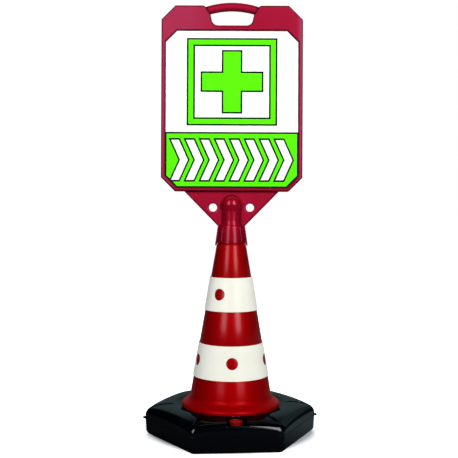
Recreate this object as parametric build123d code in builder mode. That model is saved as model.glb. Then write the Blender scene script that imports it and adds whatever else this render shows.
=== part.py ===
from build123d import *
import math
import os

# Traffic cone on a hollow hexagonal ballast base, carrying a framed sign board that turns on the cone's top.
# Millimetres, +Z up, origin on the floor under the middle of the base, the sign faces -Y.

# Clearances
running_gap = 0.5  # between the socket of the sign and the cone's top, all round
fin_gap = 0.8  # between the tips of the socket's fins and the cone
band_fit = 0.15  # between a band and the bottom of its groove
band_end_gap = 0.6  # between a band's upper edge and the end of its groove
stud_gap = 0.4  # round each stud in the hole of its band
panel_gap = 0.5  # round a sign panel in its recess
hub_gap = 0.5  # between the base's hub and the screw bosses of the cone
plug_gap = 0.4  # round the filler cap's plug in the neck
fill_gap = 0.4  # between the ballast and the walls that hold it
screw_gap = 0.3  # round the screws and in their washers where they pass through the base
thread_gap = 0.1  # round the screws in their bosses
seal_gap = 0.3  # between the seal and the filler cap's plug

# Base: blow moulded, hollow, six-sided, turned a little under the sign
base_flats = 395.0  # across flats at the parting line
base_corner_r = 20.0
base_yaw = 4.8
base_wall = 4.5
parting_z = 44.0
lower_draft = 4.5
upper_draft = 2.0
foot_edge_r = 14.0
shoulder_r = 18.0
foot_recess = 5.0  # depth of the hollow under the base
foot_rim = 42.0  # from the flats to that hollow
foot_recess_r = 12.0
hub_chamfer = 2.5
seat_z = 75.5  # face that carries the cone's foot
dish_margin = 6.0  # flat seat left outside the cone's foot
dish_ramp = 14.0  # width of the slope from the seat up to the crown
crown_rise = 3.5  # from the seat up to the crown
crown_land = 6.5  # flat ring between that slope and the crown's falling rim
crown_arc_r = 178.0
seam_proud = 0.8
seam_t = 1.8
tab_proud = 6.0  # pinch-off tabs on the two side corners
tab_w = 14.0
tab_t = 4.0

# Creases along the corner ridges of the crown
crease_w = 3.0
crease_depth = 2.6
crease_lead = 5.0  # from the crease's inner end to the crown's falling rim
crease_edge_gap = 18.0  # from the crease's outer end to the corner

# Filler pocket, neck, cap and seal
filler_inset = 46.5  # from the front side to the cap's centre
pocket_r = 24.0
pocket_depth = 18.0  # from the crown down to the pocket's floor
pocket_corner_r = 6.0
sill_h = 7.0  # low front wall of the pocket, above its floor
sill_w = 9.0
neck_bore_r = 12.0
neck_wall = 3.0
neck_depth = 14.0
seal_t = 2.5
seal_w = 3.5
cap_r = 16.5
cap_h = 7.0
cap_edge_r = 1.5
cap_dish_depth = 2.0
cap_grip_w = 4.0
cap_plug_len = 11.0
cap_plug_wall = 2.5
cap_rim_w = 2.5
cap_flutes = 18
cap_flute_r = 1.4

# Cone: hollow, with a flared foot
cone_wall = 3.5
cone_h = 425.5  # from its foot to the seat of the sign's skirt
cone_top_r = 38.4  # at that seat
knee_r = 108.1  # where the straight side and the flare meet
knee_h = 21.0
flare_w = 20.4  # from the knee out to the rim
rim_h = 9.2
flare_fillet_r = 35.0
rim_fillet_r = 9.0

# Screws that hold the cone's foot, each in a well that crosses the base
screw_count = 6
boss_inset = 14.1  # from the knee of the cone in to the screws
screw_r = 3.0
screw_head_r = 6.5
screw_head_sides = 6
screw_head_h = 5.0
screw_grip = 30.0  # length in the boss
screw_end_room = 4.0  # left beyond the screw's tip
washer_r = 9.0
washer_t = 1.6
well_r = 11.0
ledge_t = 12.0  # plastic between the well's end and the seat
boss_r = 8.0
boss_h = 48.0
hub_h = 20.0

# White bands and the studs that hold them
band_t = 2.0
band_proud = 0.4
band_h = 87.0
lower_band_up = 79.5  # from the cone's foot
band_pitch = 172.0  # from one band to the next
band_seam = 1.5
stud_r = 14.6
stud_proud = 0.8  # beyond the band
lower_studs = 5
lower_stud_turn = 1.9
upper_studs = 3
upper_stud_turn = -31.0

# Socket of the sign
socket_wall = 3.2
skirt_h = 48.5
skirt_proud = 1.4  # beyond the cone at the skirt's foot
skirt_top_r = 31.6
neck_foot_r = 27.6
neck_foot_h = 11.5
neck_r = 26.3
neck_h = 26.0
knob_r = 29.7
knob_rise = 15.0  # from the neck up to the widest part of the knob
skirt_rib_w = 2.0
skirt_rib_proud = 0.8
skirt_rib_turn = 44.0
skirt_rib_end = 3.0  # from each end of the skirt

# Web and fins of the sign
web_t = 9.0
web_top_half = 122.0
web_proud = 3.4  # beyond the skirt where the web runs out into the fins
web_lap = 2.0  # how far it runs down past the ledge
web_edge_r = 1.5
fin_proud = 3.7  # beyond the skirt at its foot
fin_lap = 5.0  # how far the fins run down past the skirt
tie_hole_r = 11.0
tie_hole_spacing = 98.0
tie_hole_drop = 41.5  # from the frame down to the holes

# Frame of the sign
board_w = 376.0
board_t = 28.0
board_h = 493.5
board_gap = 5.8  # between the knob's dome and the frame
board_chamfer = 37.5
board_edge_r = 3.0
board_wall = 3.2
side_rail = 12.5
bottom_rail = 12.0
top_rail = 67.0
recess_chamfer = 30.0
recess_depth = 8.0
recess_bevel = 2.8
recess_bevel_angle = 45.0
panel_t = 2.0
drain_r = 4.0  # drain holes under the bottom rail

# Carrying handle and the hand opening below it
hand_depth = 52.5  # from the frame's top down to the opening's floor
hand_floor_half = 50.5
hand_side_half = 56.5
hand_side_depth = 25.0
hand_mouth_half = 72.0
hand_floor_fillet = 16.0
hand_mouth_fillet = 12.0
handle_r = 10.0
handle_proud = 8.5  # above the frame
handle_rise = 13.0
handle_half = 74.0

# Places worked out from the sizes above
apothem = base_flats / 2
base_sides = 6
corner_reach = apothem / math.cos(math.pi / base_sides)
rounded_corner_r = corner_reach - base_corner_r * (corner_reach / apothem - 1)
front_angle = -90.0
overshoot = 10.0  # how far a cutting shape runs past what it cuts

floor_z = foot_recess + base_wall
crown_z = seat_z + crown_rise
rim_r = knee_r + flare_w
dish_r = rim_r + dish_margin
crown_flat_r = dish_r + dish_ramp + crown_land  # where the crown starts to fall away
crease_start_r = crown_flat_r - crease_lead
crease_end_r = rounded_corner_r - crease_edge_gap
screw_circle_r = knee_r - boss_inset
hub_r = screw_circle_r - boss_r - hub_gap
hub_top_z = seat_z + hub_h
well_end_z = seat_z - ledge_t

filler_angle = front_angle + base_yaw
filler_r = apothem - filler_inset  # from the axis to the cap's centre
pocket_floor_z = crown_z - pocket_depth
sill_z = pocket_floor_z + sill_h
pocket_reach = filler_inset - sill_w  # from the cap's centre to the sill
sill_reach = filler_inset + overshoot  # out past the front side
cap_z = pocket_floor_z + seal_t
cap_plug_r = neck_bore_r - plug_gap

knee_z = seat_z + knee_h
rim_corner_z = seat_z + rim_h
skirt_bottom_z = seat_z + cone_h
cone_slope = (knee_r - cone_top_r) / (skirt_bottom_z - knee_z)
groove_depth = band_t + band_fit - band_proud
lower_band_z = seat_z + lower_band_up
bands = (
    ("lower_band", lower_band_z, lower_studs, lower_stud_turn),
    ("upper_band", lower_band_z + band_pitch, upper_studs, upper_stud_turn),
)

plug_inset = socket_wall + running_gap
skirt_r = cone_top_r + skirt_proud
ledge_z = skirt_bottom_z + skirt_h
neck_foot_z = ledge_z + neck_foot_h
neck_top_z = neck_foot_z + neck_h
knob_z = neck_top_z + knob_rise

board_bottom_z = knob_z + knob_r + board_gap
board_top_z = board_bottom_z + board_h
recess_w = board_w - 2 * side_rail
recess_top_z = board_top_z - top_rail
recess_bottom_z = board_bottom_z + bottom_rail
core_half = board_t / 2 - recess_depth
web_bottom_half = skirt_top_r + web_proud
web_bottom_z = ledge_z - web_lap
fin_bottom_half = skirt_r + fin_proud
fin_bottom_z = skirt_bottom_z - fin_lap
tie_hole_z = board_bottom_z - tie_hole_drop
drain_spacing = web_top_half + board_w / 2 - board_chamfer  # midway between the web and the cut corners
hand_floor_z = board_top_z - hand_depth
hand_side_z = board_top_z - hand_side_depth
handle_mid_z = board_top_z + handle_proud - handle_r

filler_plane = Plane(
    origin=(0, 0, 0),
    x_dir=(math.cos(math.radians(filler_angle)), math.sin(math.radians(filler_angle)), 0),
    z_dir=(0, 0, 1),
)


def cone_r(z):
    """Outer radius of the cone's straight side at height z."""
    return cone_top_r + cone_slope * (skirt_bottom_z - z)


def radial_plane(angle, height=0.0):
    """Plane whose normal points away from the axis at that angle, with its own y axis up."""
    turn = math.radians(angle)
    outward = Vector(math.cos(turn), math.sin(turn), 0)
    across = Vector(-math.sin(turn), math.cos(turn), 0)
    return Plane(origin=(0, 0, height), x_dir=across, z_dir=outward)


def section_plane(angle):
    """Upright plane through the axis, with its own x axis pointing outwards at that angle and y up."""
    turn = math.radians(angle)
    return Plane(
        origin=(0, 0, 0),
        x_dir=(math.cos(turn), math.sin(turn), 0),
        z_dir=(math.sin(turn), -math.cos(turn), 0),
    )


def round_corner(sketch, x, y, radius):
    """Round the corner of an open sketch that lies nearest to a point of its own plane."""
    fillet(sketch.vertices().sort_by_distance((x, y))[0], radius)


def base_plan(inset=0.0, height=parting_z, corner_r=base_corner_r):
    """Six-sided plan of the base at one height, with rounded corners, moved in by inset."""
    with BuildSketch(Plane.XY.offset(height)) as plan:
        RegularPolygon(apothem - inset, base_sides, major_radius=False, rotation=base_yaw)
        fillet(plan.vertices(), corner_r)
    return plan.sketch


def crown_arc_z(radius, inset=0.0):
    """Height of the crown's falling rim at that radius, moved in by inset."""
    return crown_z - crown_arc_r + math.sqrt((crown_arc_r - inset) ** 2 - (radius - crown_flat_r) ** 2)


def crown_section(inset=0.0, low=-overshoot):
    """Half section of the crown with its hub, dished seat and falling rim, moved in by inset."""
    reach = corner_reach + overshoot
    reach_z = crown_arc_z(reach, inset)
    arc_mid_r = (crown_flat_r + reach) / 2
    arc_mid_z = crown_arc_z(arc_mid_r, inset)
    with BuildSketch(section_plane(filler_angle + 180)) as section:
        with BuildLine():
            Polyline(
                (crown_flat_r, crown_z - inset),
                (dish_r + dish_ramp, crown_z - inset),
                (dish_r, seat_z - inset),
                (hub_r - inset, seat_z - inset),
                (hub_r - inset, hub_top_z - inset),
                (0, hub_top_z - inset),
                (0, low),
                (reach, low),
                (reach, reach_z),
            )
            ThreePointArc((reach, reach_z), (arc_mid_r, arc_mid_z), (crown_flat_r, crown_z - inset))
        make_face()
    return section.sketch


def skirt_at(z):
    """Outer radius of the socket's skirt at height z."""
    return skirt_r + (skirt_top_r - skirt_r) * (z - skirt_bottom_z) / (ledge_z - skirt_bottom_z)


def socket_section(inset, low_z):
    """Half section of dome, neck, ledge and skirt, moved in by inset and cut off at low_z."""
    dome_r = knob_r - inset
    with BuildSketch(Plane.XZ) as section:
        with BuildLine():
            Polyline(
                (0, low_z),
                (skirt_at(low_z) - inset, low_z),
                (skirt_top_r - inset, ledge_z - inset),
                (neck_foot_r - inset, ledge_z - inset),
                (neck_r - inset, neck_foot_z),
                (neck_r - inset, neck_top_z),
                (dome_r, knob_z),
            )
            CenterArc((0, knob_z), dome_r, 0, 90)
            Line((0, knob_z + dome_r), (0, low_z))
        make_face()
    return section.sketch


def cone_section(inset, low_z, top_z):
    """Half section of the cone's straight side and flared foot, moved in by inset."""
    with BuildSketch(Plane.XZ) as section:
        with BuildLine():
            Polyline(
                (0, low_z),
                (rim_r - inset, low_z),
                (rim_r - inset, rim_corner_z - inset),
                (knee_r - inset, knee_z - inset),
                (cone_r(top_z) - inset, top_z),
                (0, top_z),
                close=True,
            )
        make_face()
        round_corner(section, rim_r - inset, rim_corner_z - inset, rim_fillet_r - inset)
        round_corner(section, knee_r - inset, knee_z - inset, flare_fillet_r + inset)
    return section.sketch


def ring_section(low_z, high_z, inner_off, outer_off):
    """Section of a ring that follows the cone's side, between two offsets from it."""
    with BuildSketch(Plane.XZ) as section:
        with BuildLine():
            Polyline(
                (cone_r(low_z) + inner_off, low_z),
                (cone_r(low_z) + outer_off, low_z),
                (cone_r(high_z) + outer_off, high_z),
                (cone_r(high_z) + inner_off, high_z),
                close=True,
            )
        make_face()
    return section.sketch


def stud_shafts(band_z, count, turn, radius):
    """Round shafts that point outwards through the middle of a band."""
    middle = band_z + band_h / 2
    with BuildPart() as shafts:
        for i in range(count):
            plane = radial_plane(front_angle + turn + i * 360 / count, middle)
            with BuildSketch(plane.offset(cone_r(middle) - cone_wall)):
                Circle(radius)
            extrude(amount=2 * cone_wall + overshoot)
    return shafts.part


def studs(band_z, count, turn):
    """Round studs that stand through a band and end just proud of it."""
    with BuildPart() as heads:
        add(stud_shafts(band_z, count, turn, stud_r))
        reach = ring_section(band_z, band_z + band_h, -cone_wall, band_proud + stud_proud)
        revolve(reach, axis=Axis.Z, mode=Mode.INTERSECT)
    return heads.part


def octagon(width, low_z, high_z, cut, inset=0.0):
    """Upright rectangle with cut corners in the plane of the sign, moved in by inset."""
    corner_cut = cut - inset * (2 - math.sqrt(2))
    with BuildSketch(Plane.XZ) as outline:
        with Locations((0, (low_z + high_z) / 2)):
            Rectangle(width - 2 * inset, high_z - low_z - 2 * inset)
        chamfer(outline.vertices(), corner_cut)
    return outline.sketch


def recess_plan(inset=0.0):
    """Outline of a panel recess in the frame, moved in by inset."""
    return octagon(recess_w, recess_bottom_z, recess_top_z, recess_chamfer, inset)


def board_outline():
    """Front outline of the frame with its cut corners and the notch of the hand opening."""
    with BuildSketch(Plane.XZ) as outline:
        add(octagon(board_w, board_bottom_z, board_top_z, board_chamfer))
        with BuildLine():
            Polyline(
                (-hand_floor_half, hand_floor_z),
                (hand_floor_half, hand_floor_z),
                (hand_side_half, hand_side_z),
                (hand_mouth_half, board_top_z),
                (-hand_mouth_half, board_top_z),
                (-hand_side_half, hand_side_z),
                close=True,
            )
        make_face(mode=Mode.SUBTRACT)
        for side in (-1, 1):
            round_corner(outline, side * hand_floor_half, hand_floor_z, hand_floor_fillet)
            round_corner(outline, side * hand_mouth_half, board_top_z, hand_mouth_fillet)
    return outline.sketch


def pocket_plan(height, reach, margin=0.0):
    """Filler pocket, round behind the cap and running forward by reach, grown by margin."""
    length = reach + margin
    with BuildSketch(filler_plane.offset(height)) as plan:
        with Locations((filler_r, 0)):
            Circle(pocket_r + margin)
        with Locations((filler_r + length / 2, 0)):
            Rectangle(length, 2 * (pocket_r + margin))
        fillet(plan.vertices().group_by(Axis.X)[-1], pocket_corner_r + margin)
    return plan.sketch


os.makedirs("parts", exist_ok=True)

# Hollow of the base, crossed by the wells, the filler pocket and its neck
with BuildPart() as base_hollow:
    hollow_plan = base_plan(base_wall, corner_r=base_corner_r - base_wall)
    extrude(hollow_plan, amount=hub_top_z, taper=upper_draft)
    extrude(hollow_plan, amount=floor_z - parting_z, taper=lower_draft)
    revolve(crown_section(base_wall, floor_z), axis=Axis.Z, mode=Mode.INTERSECT)
    with BuildSketch(Plane.XY.offset(floor_z)):
        with PolarLocations(screw_circle_r, screw_count, start_angle=base_yaw):
            Circle(well_r + base_wall)
    extrude(amount=hub_top_z, mode=Mode.SUBTRACT)
    for pocket_z, reach in ((pocket_floor_z, pocket_reach), (sill_z, sill_reach)):
        pocket_wall = pocket_plan(pocket_z - base_wall, reach, base_wall)
        extrude(pocket_wall, amount=hub_top_z, mode=Mode.SUBTRACT)
    with BuildSketch(filler_plane.offset(pocket_floor_z - neck_depth)):
        with Locations((filler_r, 0)):
            Circle(neck_bore_r + neck_wall)
    extrude(amount=neck_depth, mode=Mode.SUBTRACT)

with BuildPart() as base_shell:
    extrude(base_plan(), amount=hub_top_z, taper=upper_draft)
    extrude(base_plan(), amount=-parting_z, taper=lower_draft)
    revolve(crown_section(), axis=Axis.Z, mode=Mode.INTERSECT)
    fillet(base_shell.edges().filter_by(GeomType.BSPLINE), shoulder_r)
    fillet(base_shell.edges().group_by(Axis.Z)[0], foot_edge_r)
    chamfer(base_shell.edges().group_by(Axis.Z)[-1], hub_chamfer)
    # parting line and the two pinch-off tabs that the mould leaves
    extrude(base_plan(-seam_proud), amount=seam_t / 2, both=True)
    with BuildSketch(Plane.XY.offset(parting_z)):
        with PolarLocations(rounded_corner_r, 2, start_angle=base_yaw):
            Rectangle(2 * tab_proud, tab_w)
    extrude(amount=tab_t / 2, both=True)
    # hollow under the foot
    extrude(base_plan(foot_rim, 0, foot_recess_r), amount=foot_recess, mode=Mode.SUBTRACT)
    add(base_hollow.part, mode=Mode.SUBTRACT)
    # wells for the screws
    with BuildSketch():
        with PolarLocations(screw_circle_r, screw_count, start_angle=base_yaw):
            Circle(well_r)
    extrude(amount=well_end_z, mode=Mode.SUBTRACT)
    with BuildSketch():
        with PolarLocations(screw_circle_r, screw_count, start_angle=base_yaw):
            Circle(screw_r + screw_gap)
    extrude(amount=hub_top_z, mode=Mode.SUBTRACT)
    # filler pocket, the way in over its sill and the bore of its neck
    for pocket_z, reach in ((pocket_floor_z, pocket_reach), (sill_z, sill_reach)):
        extrude(pocket_plan(pocket_z, reach), amount=hub_top_z, mode=Mode.SUBTRACT)
    with BuildSketch(filler_plane.offset(pocket_floor_z)):
        with Locations((filler_r, 0)):
            Circle(neck_bore_r)
    extrude(amount=-neck_depth - overshoot, mode=Mode.SUBTRACT)
    # creases along the corner ridges
    for i in range(base_sides):
        with BuildSketch(section_plane(base_yaw + i * 360 / base_sides)):
            crease_mid_r = (crown_flat_r + crease_end_r) / 2
            with BuildLine():
                ThreePointArc(
                    (crease_end_r, crown_arc_z(crease_end_r, crease_depth)),
                    (crease_mid_r, crown_arc_z(crease_mid_r, crease_depth)),
                    (crown_flat_r, crown_z - crease_depth),
                )
                Polyline(
                    (crown_flat_r, crown_z - crease_depth),
                    (crease_start_r, crown_z - crease_depth),
                    (crease_start_r, hub_top_z),
                    (crease_end_r, hub_top_z),
                    (crease_end_r, crown_arc_z(crease_end_r, crease_depth)),
                )
            make_face()
        extrude(amount=crease_w / 2, both=True, mode=Mode.SUBTRACT)
base_shell.part.label = "base_shell"
export_step(base_shell.part, "parts/base_shell.step")

# Sand that fills the base up to its parting line
with BuildPart() as sand_ballast:
    sand_inset = base_wall + fill_gap
    sand_plan = base_plan(sand_inset, corner_r=base_corner_r - sand_inset)
    extrude(sand_plan, amount=floor_z - parting_z, taper=lower_draft)
    with BuildSketch(Plane.XY.offset(floor_z)):
        with PolarLocations(screw_circle_r, screw_count, start_angle=base_yaw):
            Circle(well_r + sand_inset)
    extrude(amount=parting_z, mode=Mode.SUBTRACT)
sand_ballast.part.label = "sand_ballast"
export_step(sand_ballast.part, "parts/sand_ballast.step")

# Rubber ring under the filler cap
with BuildPart() as cap_seal:
    with BuildSketch(filler_plane.offset(pocket_floor_z)):
        with Locations((filler_r, 0)):
            Circle(cap_plug_r + seal_gap + seal_w)
            Circle(cap_plug_r + seal_gap, mode=Mode.SUBTRACT)
    extrude(amount=seal_t)
cap_seal.part.label = "cap_seal"
export_step(cap_seal.part, "parts/cap_seal.step")

# Screw cap with a fluted edge, a grip bar across its dished top and a hollow plug
with BuildPart() as filler_cap:
    with BuildSketch(filler_plane.offset(cap_z)):
        with Locations((filler_r, 0)):
            Circle(cap_r)
    extrude(amount=cap_h)
    fillet(filler_cap.edges().group_by(Axis.Z)[-1], cap_edge_r)
    with BuildSketch(filler_plane.offset(cap_z)):
        with Locations((filler_r, 0)):
            with PolarLocations(cap_r + cap_flute_r / 2, cap_flutes):
                Circle(cap_flute_r)
    extrude(amount=cap_h - cap_edge_r, mode=Mode.SUBTRACT)
    with BuildSketch(filler_plane.offset(cap_z + cap_h)):
        with Locations((filler_r, 0)):
            Circle(cap_r - cap_rim_w)
            Rectangle(cap_grip_w, 2 * cap_r, mode=Mode.SUBTRACT)
    extrude(amount=-cap_dish_depth, mode=Mode.SUBTRACT)
    with BuildSketch(filler_plane.offset(cap_z)):
        with Locations((filler_r, 0)):
            Circle(cap_plug_r)
    extrude(amount=-cap_plug_len - seal_t)
    with BuildSketch(filler_plane.offset(cap_z - cap_plug_len - seal_t)):
        with Locations((filler_r, 0)):
            Circle(cap_plug_r - cap_plug_wall)
    extrude(amount=cap_plug_len + seal_t, mode=Mode.SUBTRACT)
filler_cap.part.label = "filler_cap"
export_step(filler_cap.part, "parts/filler_cap.step")

# Cone with its flared foot, band grooves, screw bosses and the plug that carries the sign
with BuildPart() as cone:
    revolve(cone_section(0, seat_z, skirt_bottom_z), axis=Axis.Z)
    revolve(socket_section(plug_inset, skirt_bottom_z), axis=Axis.Z)
    revolve(cone_section(cone_wall, seat_z - overshoot, skirt_bottom_z), axis=Axis.Z, mode=Mode.SUBTRACT)
    revolve(socket_section(plug_inset + cone_wall, skirt_bottom_z), axis=Axis.Z, mode=Mode.SUBTRACT)
    with BuildSketch(Plane.XY.offset(seat_z)):
        with PolarLocations(screw_circle_r, screw_count, start_angle=base_yaw):
            Circle(boss_r)
    extrude(amount=boss_h)
    with BuildSketch(Plane.XY.offset(seat_z)):
        with PolarLocations(screw_circle_r, screw_count, start_angle=base_yaw):
            Circle(screw_r + thread_gap)
    extrude(amount=screw_grip + screw_end_room, mode=Mode.SUBTRACT)
    for label, band_z, count, turn in bands:
        groove = ring_section(band_z, band_z + band_h, -groove_depth, overshoot)
        revolve(groove, axis=Axis.Z, mode=Mode.SUBTRACT)
        add(studs(band_z, count, turn))
cone.part.label = "cone"
export_step(cone.part, "parts/cone.step")

# White bands: strips wrapped round the cone, butted at the back, with holes for the studs
for label, band_z, count, turn in bands:
    with BuildPart() as band:
        strip = ring_section(band_z, band_z + band_h - band_end_gap, band_proud - band_t, band_proud)
        revolve(strip, axis=Axis.Z)
        add(stud_shafts(band_z, count, turn, stud_r + stud_gap), mode=Mode.SUBTRACT)
        with BuildSketch(Plane.XY.offset(band_z)):
            with Locations((0, cone_r(band_z))):
                Rectangle(band_seam, 2 * cone_r(band_z))
        extrude(amount=band_h, mode=Mode.SUBTRACT)
    band.part.label = label
    export_step(band.part, f"parts/{label}.step")

# Hollow of the sign's frame: full depth in the rails, thin behind the panels
with BuildPart() as board_hollow:
    with BuildSketch(Plane.XZ) as hollow_outline:
        add(board_outline())
        offset(amount=-board_wall, mode=Mode.REPLACE)
    extrude(amount=core_half - board_wall, both=True)
    with BuildSketch(Plane.XZ):
        add(hollow_outline.sketch)
        add(recess_plan(-board_wall), mode=Mode.SUBTRACT)
    extrude(amount=board_t / 2 - board_wall, both=True)

# Web under the frame, running down into a fin on each side of the socket
with BuildPart() as web:
    with BuildSketch(Plane.XZ):
        with BuildLine():
            Polyline(
                (-web_top_half - board_wall, board_bottom_z + board_wall),
                (web_top_half + board_wall, board_bottom_z + board_wall),
                (web_bottom_half, web_bottom_z),
                (fin_bottom_half, fin_bottom_z),
                (-fin_bottom_half, fin_bottom_z),
                (-web_bottom_half, web_bottom_z),
                close=True,
            )
        make_face()
        with Locations((0, tie_hole_z)):
            with GridLocations(tie_hole_spacing, 0, 2, 1):
                Circle(tie_hole_r, mode=Mode.SUBTRACT)
    extrude(amount=web_t / 2, both=True)
    fillet(web.faces().sort_by(Axis.Y)[0].edges() + web.faces().sort_by(Axis.Y)[-1].edges(), web_edge_r)

# Outer form of the frame, before its recesses and its hollow
with BuildPart() as frame_blank:
    with BuildSketch(Plane.XZ):
        add(board_outline())
    extrude(amount=board_t / 2, both=True)
    blank_faces = frame_blank.faces().sort_by(Axis.Y)
    fillet(blank_faces[0].edges() + blank_faces[-1].edges(), board_edge_r)

# Sign moulding: frame, web with fins, and the socket that turns on the cone
with BuildPart() as sign_board:
    add(frame_blank.part)
    # recess for a panel on each side, with a bevelled mouth
    for side in (-1, 1):
        with BuildSketch(Plane.XZ.offset(side * board_t / 2)):
            add(recess_plan())
        extrude(amount=-side * recess_depth, mode=Mode.SUBTRACT)
        with BuildSketch(Plane.XZ.offset(side * board_t / 2)):
            add(recess_plan(-recess_bevel))
        extrude(amount=-side * recess_bevel, taper=recess_bevel_angle, mode=Mode.SUBTRACT)
    add(board_hollow.part, mode=Mode.SUBTRACT)
    # drain holes of the hollow frame
    with BuildSketch(Plane.XY.offset(board_bottom_z)):
        with GridLocations(drain_spacing, 0, 2, 1):
            Circle(drain_r)
    extrude(amount=bottom_rail / 2, mode=Mode.SUBTRACT)
    # web and socket, bored for the plug on the cone and cleared round the cone below the skirt
    add(web.part)
    revolve(socket_section(0, skirt_bottom_z), axis=Axis.Z)
    rib_low_z = skirt_bottom_z + skirt_rib_end
    rib_high_z = ledge_z - skirt_rib_end
    for angle in (skirt_rib_turn, -skirt_rib_turn, 180 + skirt_rib_turn, 180 - skirt_rib_turn):
        with BuildSketch(section_plane(front_angle + angle)):
            with BuildLine():
                Polyline(
                    (skirt_at(rib_low_z) - socket_wall / 2, rib_low_z),
                    (skirt_at(rib_low_z) + skirt_rib_proud, rib_low_z),
                    (skirt_at(rib_high_z) + skirt_rib_proud, rib_high_z),
                    (skirt_at(rib_high_z) - socket_wall / 2, rib_high_z),
                    close=True,
                )
            make_face()
        extrude(amount=skirt_rib_w / 2, both=True)
    revolve(socket_section(socket_wall, skirt_bottom_z), axis=Axis.Z, mode=Mode.SUBTRACT)
    with BuildSketch(Plane.XZ):
        with BuildLine():
            Polyline(
                (0, fin_bottom_z - overshoot),
                (cone_r(fin_bottom_z - overshoot) + fin_gap, fin_bottom_z - overshoot),
                (cone_r(skirt_bottom_z) + fin_gap, skirt_bottom_z),
                (0, skirt_bottom_z),
                close=True,
            )
        make_face()
    revolve(axis=Axis.Z, mode=Mode.SUBTRACT)
sign_board.part.label = "sign_board"
export_step(sign_board.part, "parts/sign_board.step")

# Carrying handle: a round bar bent to a shallow arch between the sides of the hand opening
with BuildPart() as carrying_handle:
    with BuildLine() as handle_path:
        ThreePointArc(
            (-handle_half, 0, handle_mid_z - handle_rise),
            (0, 0, handle_mid_z),
            (handle_half, 0, handle_mid_z - handle_rise),
        )
    with BuildSketch(Plane(handle_path.line @ 0, z_dir=handle_path.line % 0)):
        Circle(handle_r)
    sweep(path=handle_path.line)
    add(frame_blank.part, mode=Mode.SUBTRACT)
carrying_handle.part.label = "carrying_handle"
export_step(carrying_handle.part, "parts/carrying_handle.step")

# Sign panels, one lying in each recess of the frame
for label, side in (("front_panel", 1), ("back_panel", -1)):
    with BuildPart() as panel:
        with BuildSketch(Plane.XZ.offset(side * core_half)):
            add(recess_plan(panel_gap))
        extrude(amount=side * panel_t)
    panel.part.label = label
    export_step(panel.part, f"parts/{label}.step")

# Screws that come up through the wells into the cone's bosses
with BuildPart() as cone_screws:
    with BuildSketch(Plane.XY.offset(well_end_z - washer_t)):
        with PolarLocations(screw_circle_r, screw_count, start_angle=base_yaw):
            RegularPolygon(screw_head_r, screw_head_sides)
    extrude(amount=-screw_head_h)
    with BuildSketch(Plane.XY.offset(well_end_z - washer_t)):
        with PolarLocations(screw_circle_r, screw_count, start_angle=base_yaw):
            Circle(screw_r)
    extrude(amount=washer_t + ledge_t + screw_grip)
cone_screws.part.label = "cone_screws"
export_step(cone_screws.part, "parts/cone_screws.step")

# Washers between the screw heads and the ends of the wells
with BuildPart() as screw_washers:
    with BuildSketch(Plane.XY.offset(well_end_z)):
        with PolarLocations(screw_circle_r, screw_count, start_angle=base_yaw):
            Circle(washer_r)
            Circle(screw_r + screw_gap, mode=Mode.SUBTRACT)
    extrude(amount=-washer_t)
screw_washers.part.label = "screw_washers"
export_step(screw_washers.part, "parts/screw_washers.step")
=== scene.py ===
import math

import bmesh
import bpy
import numpy as np
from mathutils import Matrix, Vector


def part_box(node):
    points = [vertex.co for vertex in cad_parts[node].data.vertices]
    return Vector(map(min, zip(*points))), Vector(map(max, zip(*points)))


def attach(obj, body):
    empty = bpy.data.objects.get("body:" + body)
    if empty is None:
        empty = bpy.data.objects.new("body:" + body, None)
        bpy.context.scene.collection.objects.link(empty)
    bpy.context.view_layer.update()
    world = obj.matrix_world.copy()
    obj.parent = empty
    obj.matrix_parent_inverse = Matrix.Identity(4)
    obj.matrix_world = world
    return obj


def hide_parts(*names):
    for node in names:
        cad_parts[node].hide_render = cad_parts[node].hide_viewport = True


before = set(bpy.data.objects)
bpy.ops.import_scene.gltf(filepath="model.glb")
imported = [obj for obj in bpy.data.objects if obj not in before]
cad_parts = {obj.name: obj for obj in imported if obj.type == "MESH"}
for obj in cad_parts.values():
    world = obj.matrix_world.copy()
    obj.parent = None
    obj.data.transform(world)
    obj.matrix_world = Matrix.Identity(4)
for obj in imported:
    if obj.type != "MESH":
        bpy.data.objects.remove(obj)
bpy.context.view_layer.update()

# A traffic cone on a black six-sided ballast base, with a framed sign board that turns on the cone's top.
# Metres, +Z up, the front of the sign faces -Y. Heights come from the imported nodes; the other sizes repeat
# the model's or refine them from the photograph.

TURN = 2 * math.pi
QUARTER = math.pi / 2
SIXTH = math.pi / 3
FRONT = -QUARTER
weld = 2e-6
sharp_angle = math.radians(40.0)

seat_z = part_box("cone")[0].z
hub_top_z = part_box("base_shell")[1].z
fin_bottom_z, board_top_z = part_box("sign_board")[0].z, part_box("sign_board")[1].z
handle_top_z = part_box("carrying_handle")[1].z
cap_top_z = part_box("filler_cap")[1].z
cap_plug_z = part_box("filler_cap")[0].z
seal_low_z, cap_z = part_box("cap_seal")[0].z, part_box("cap_seal")[1].z

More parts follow.
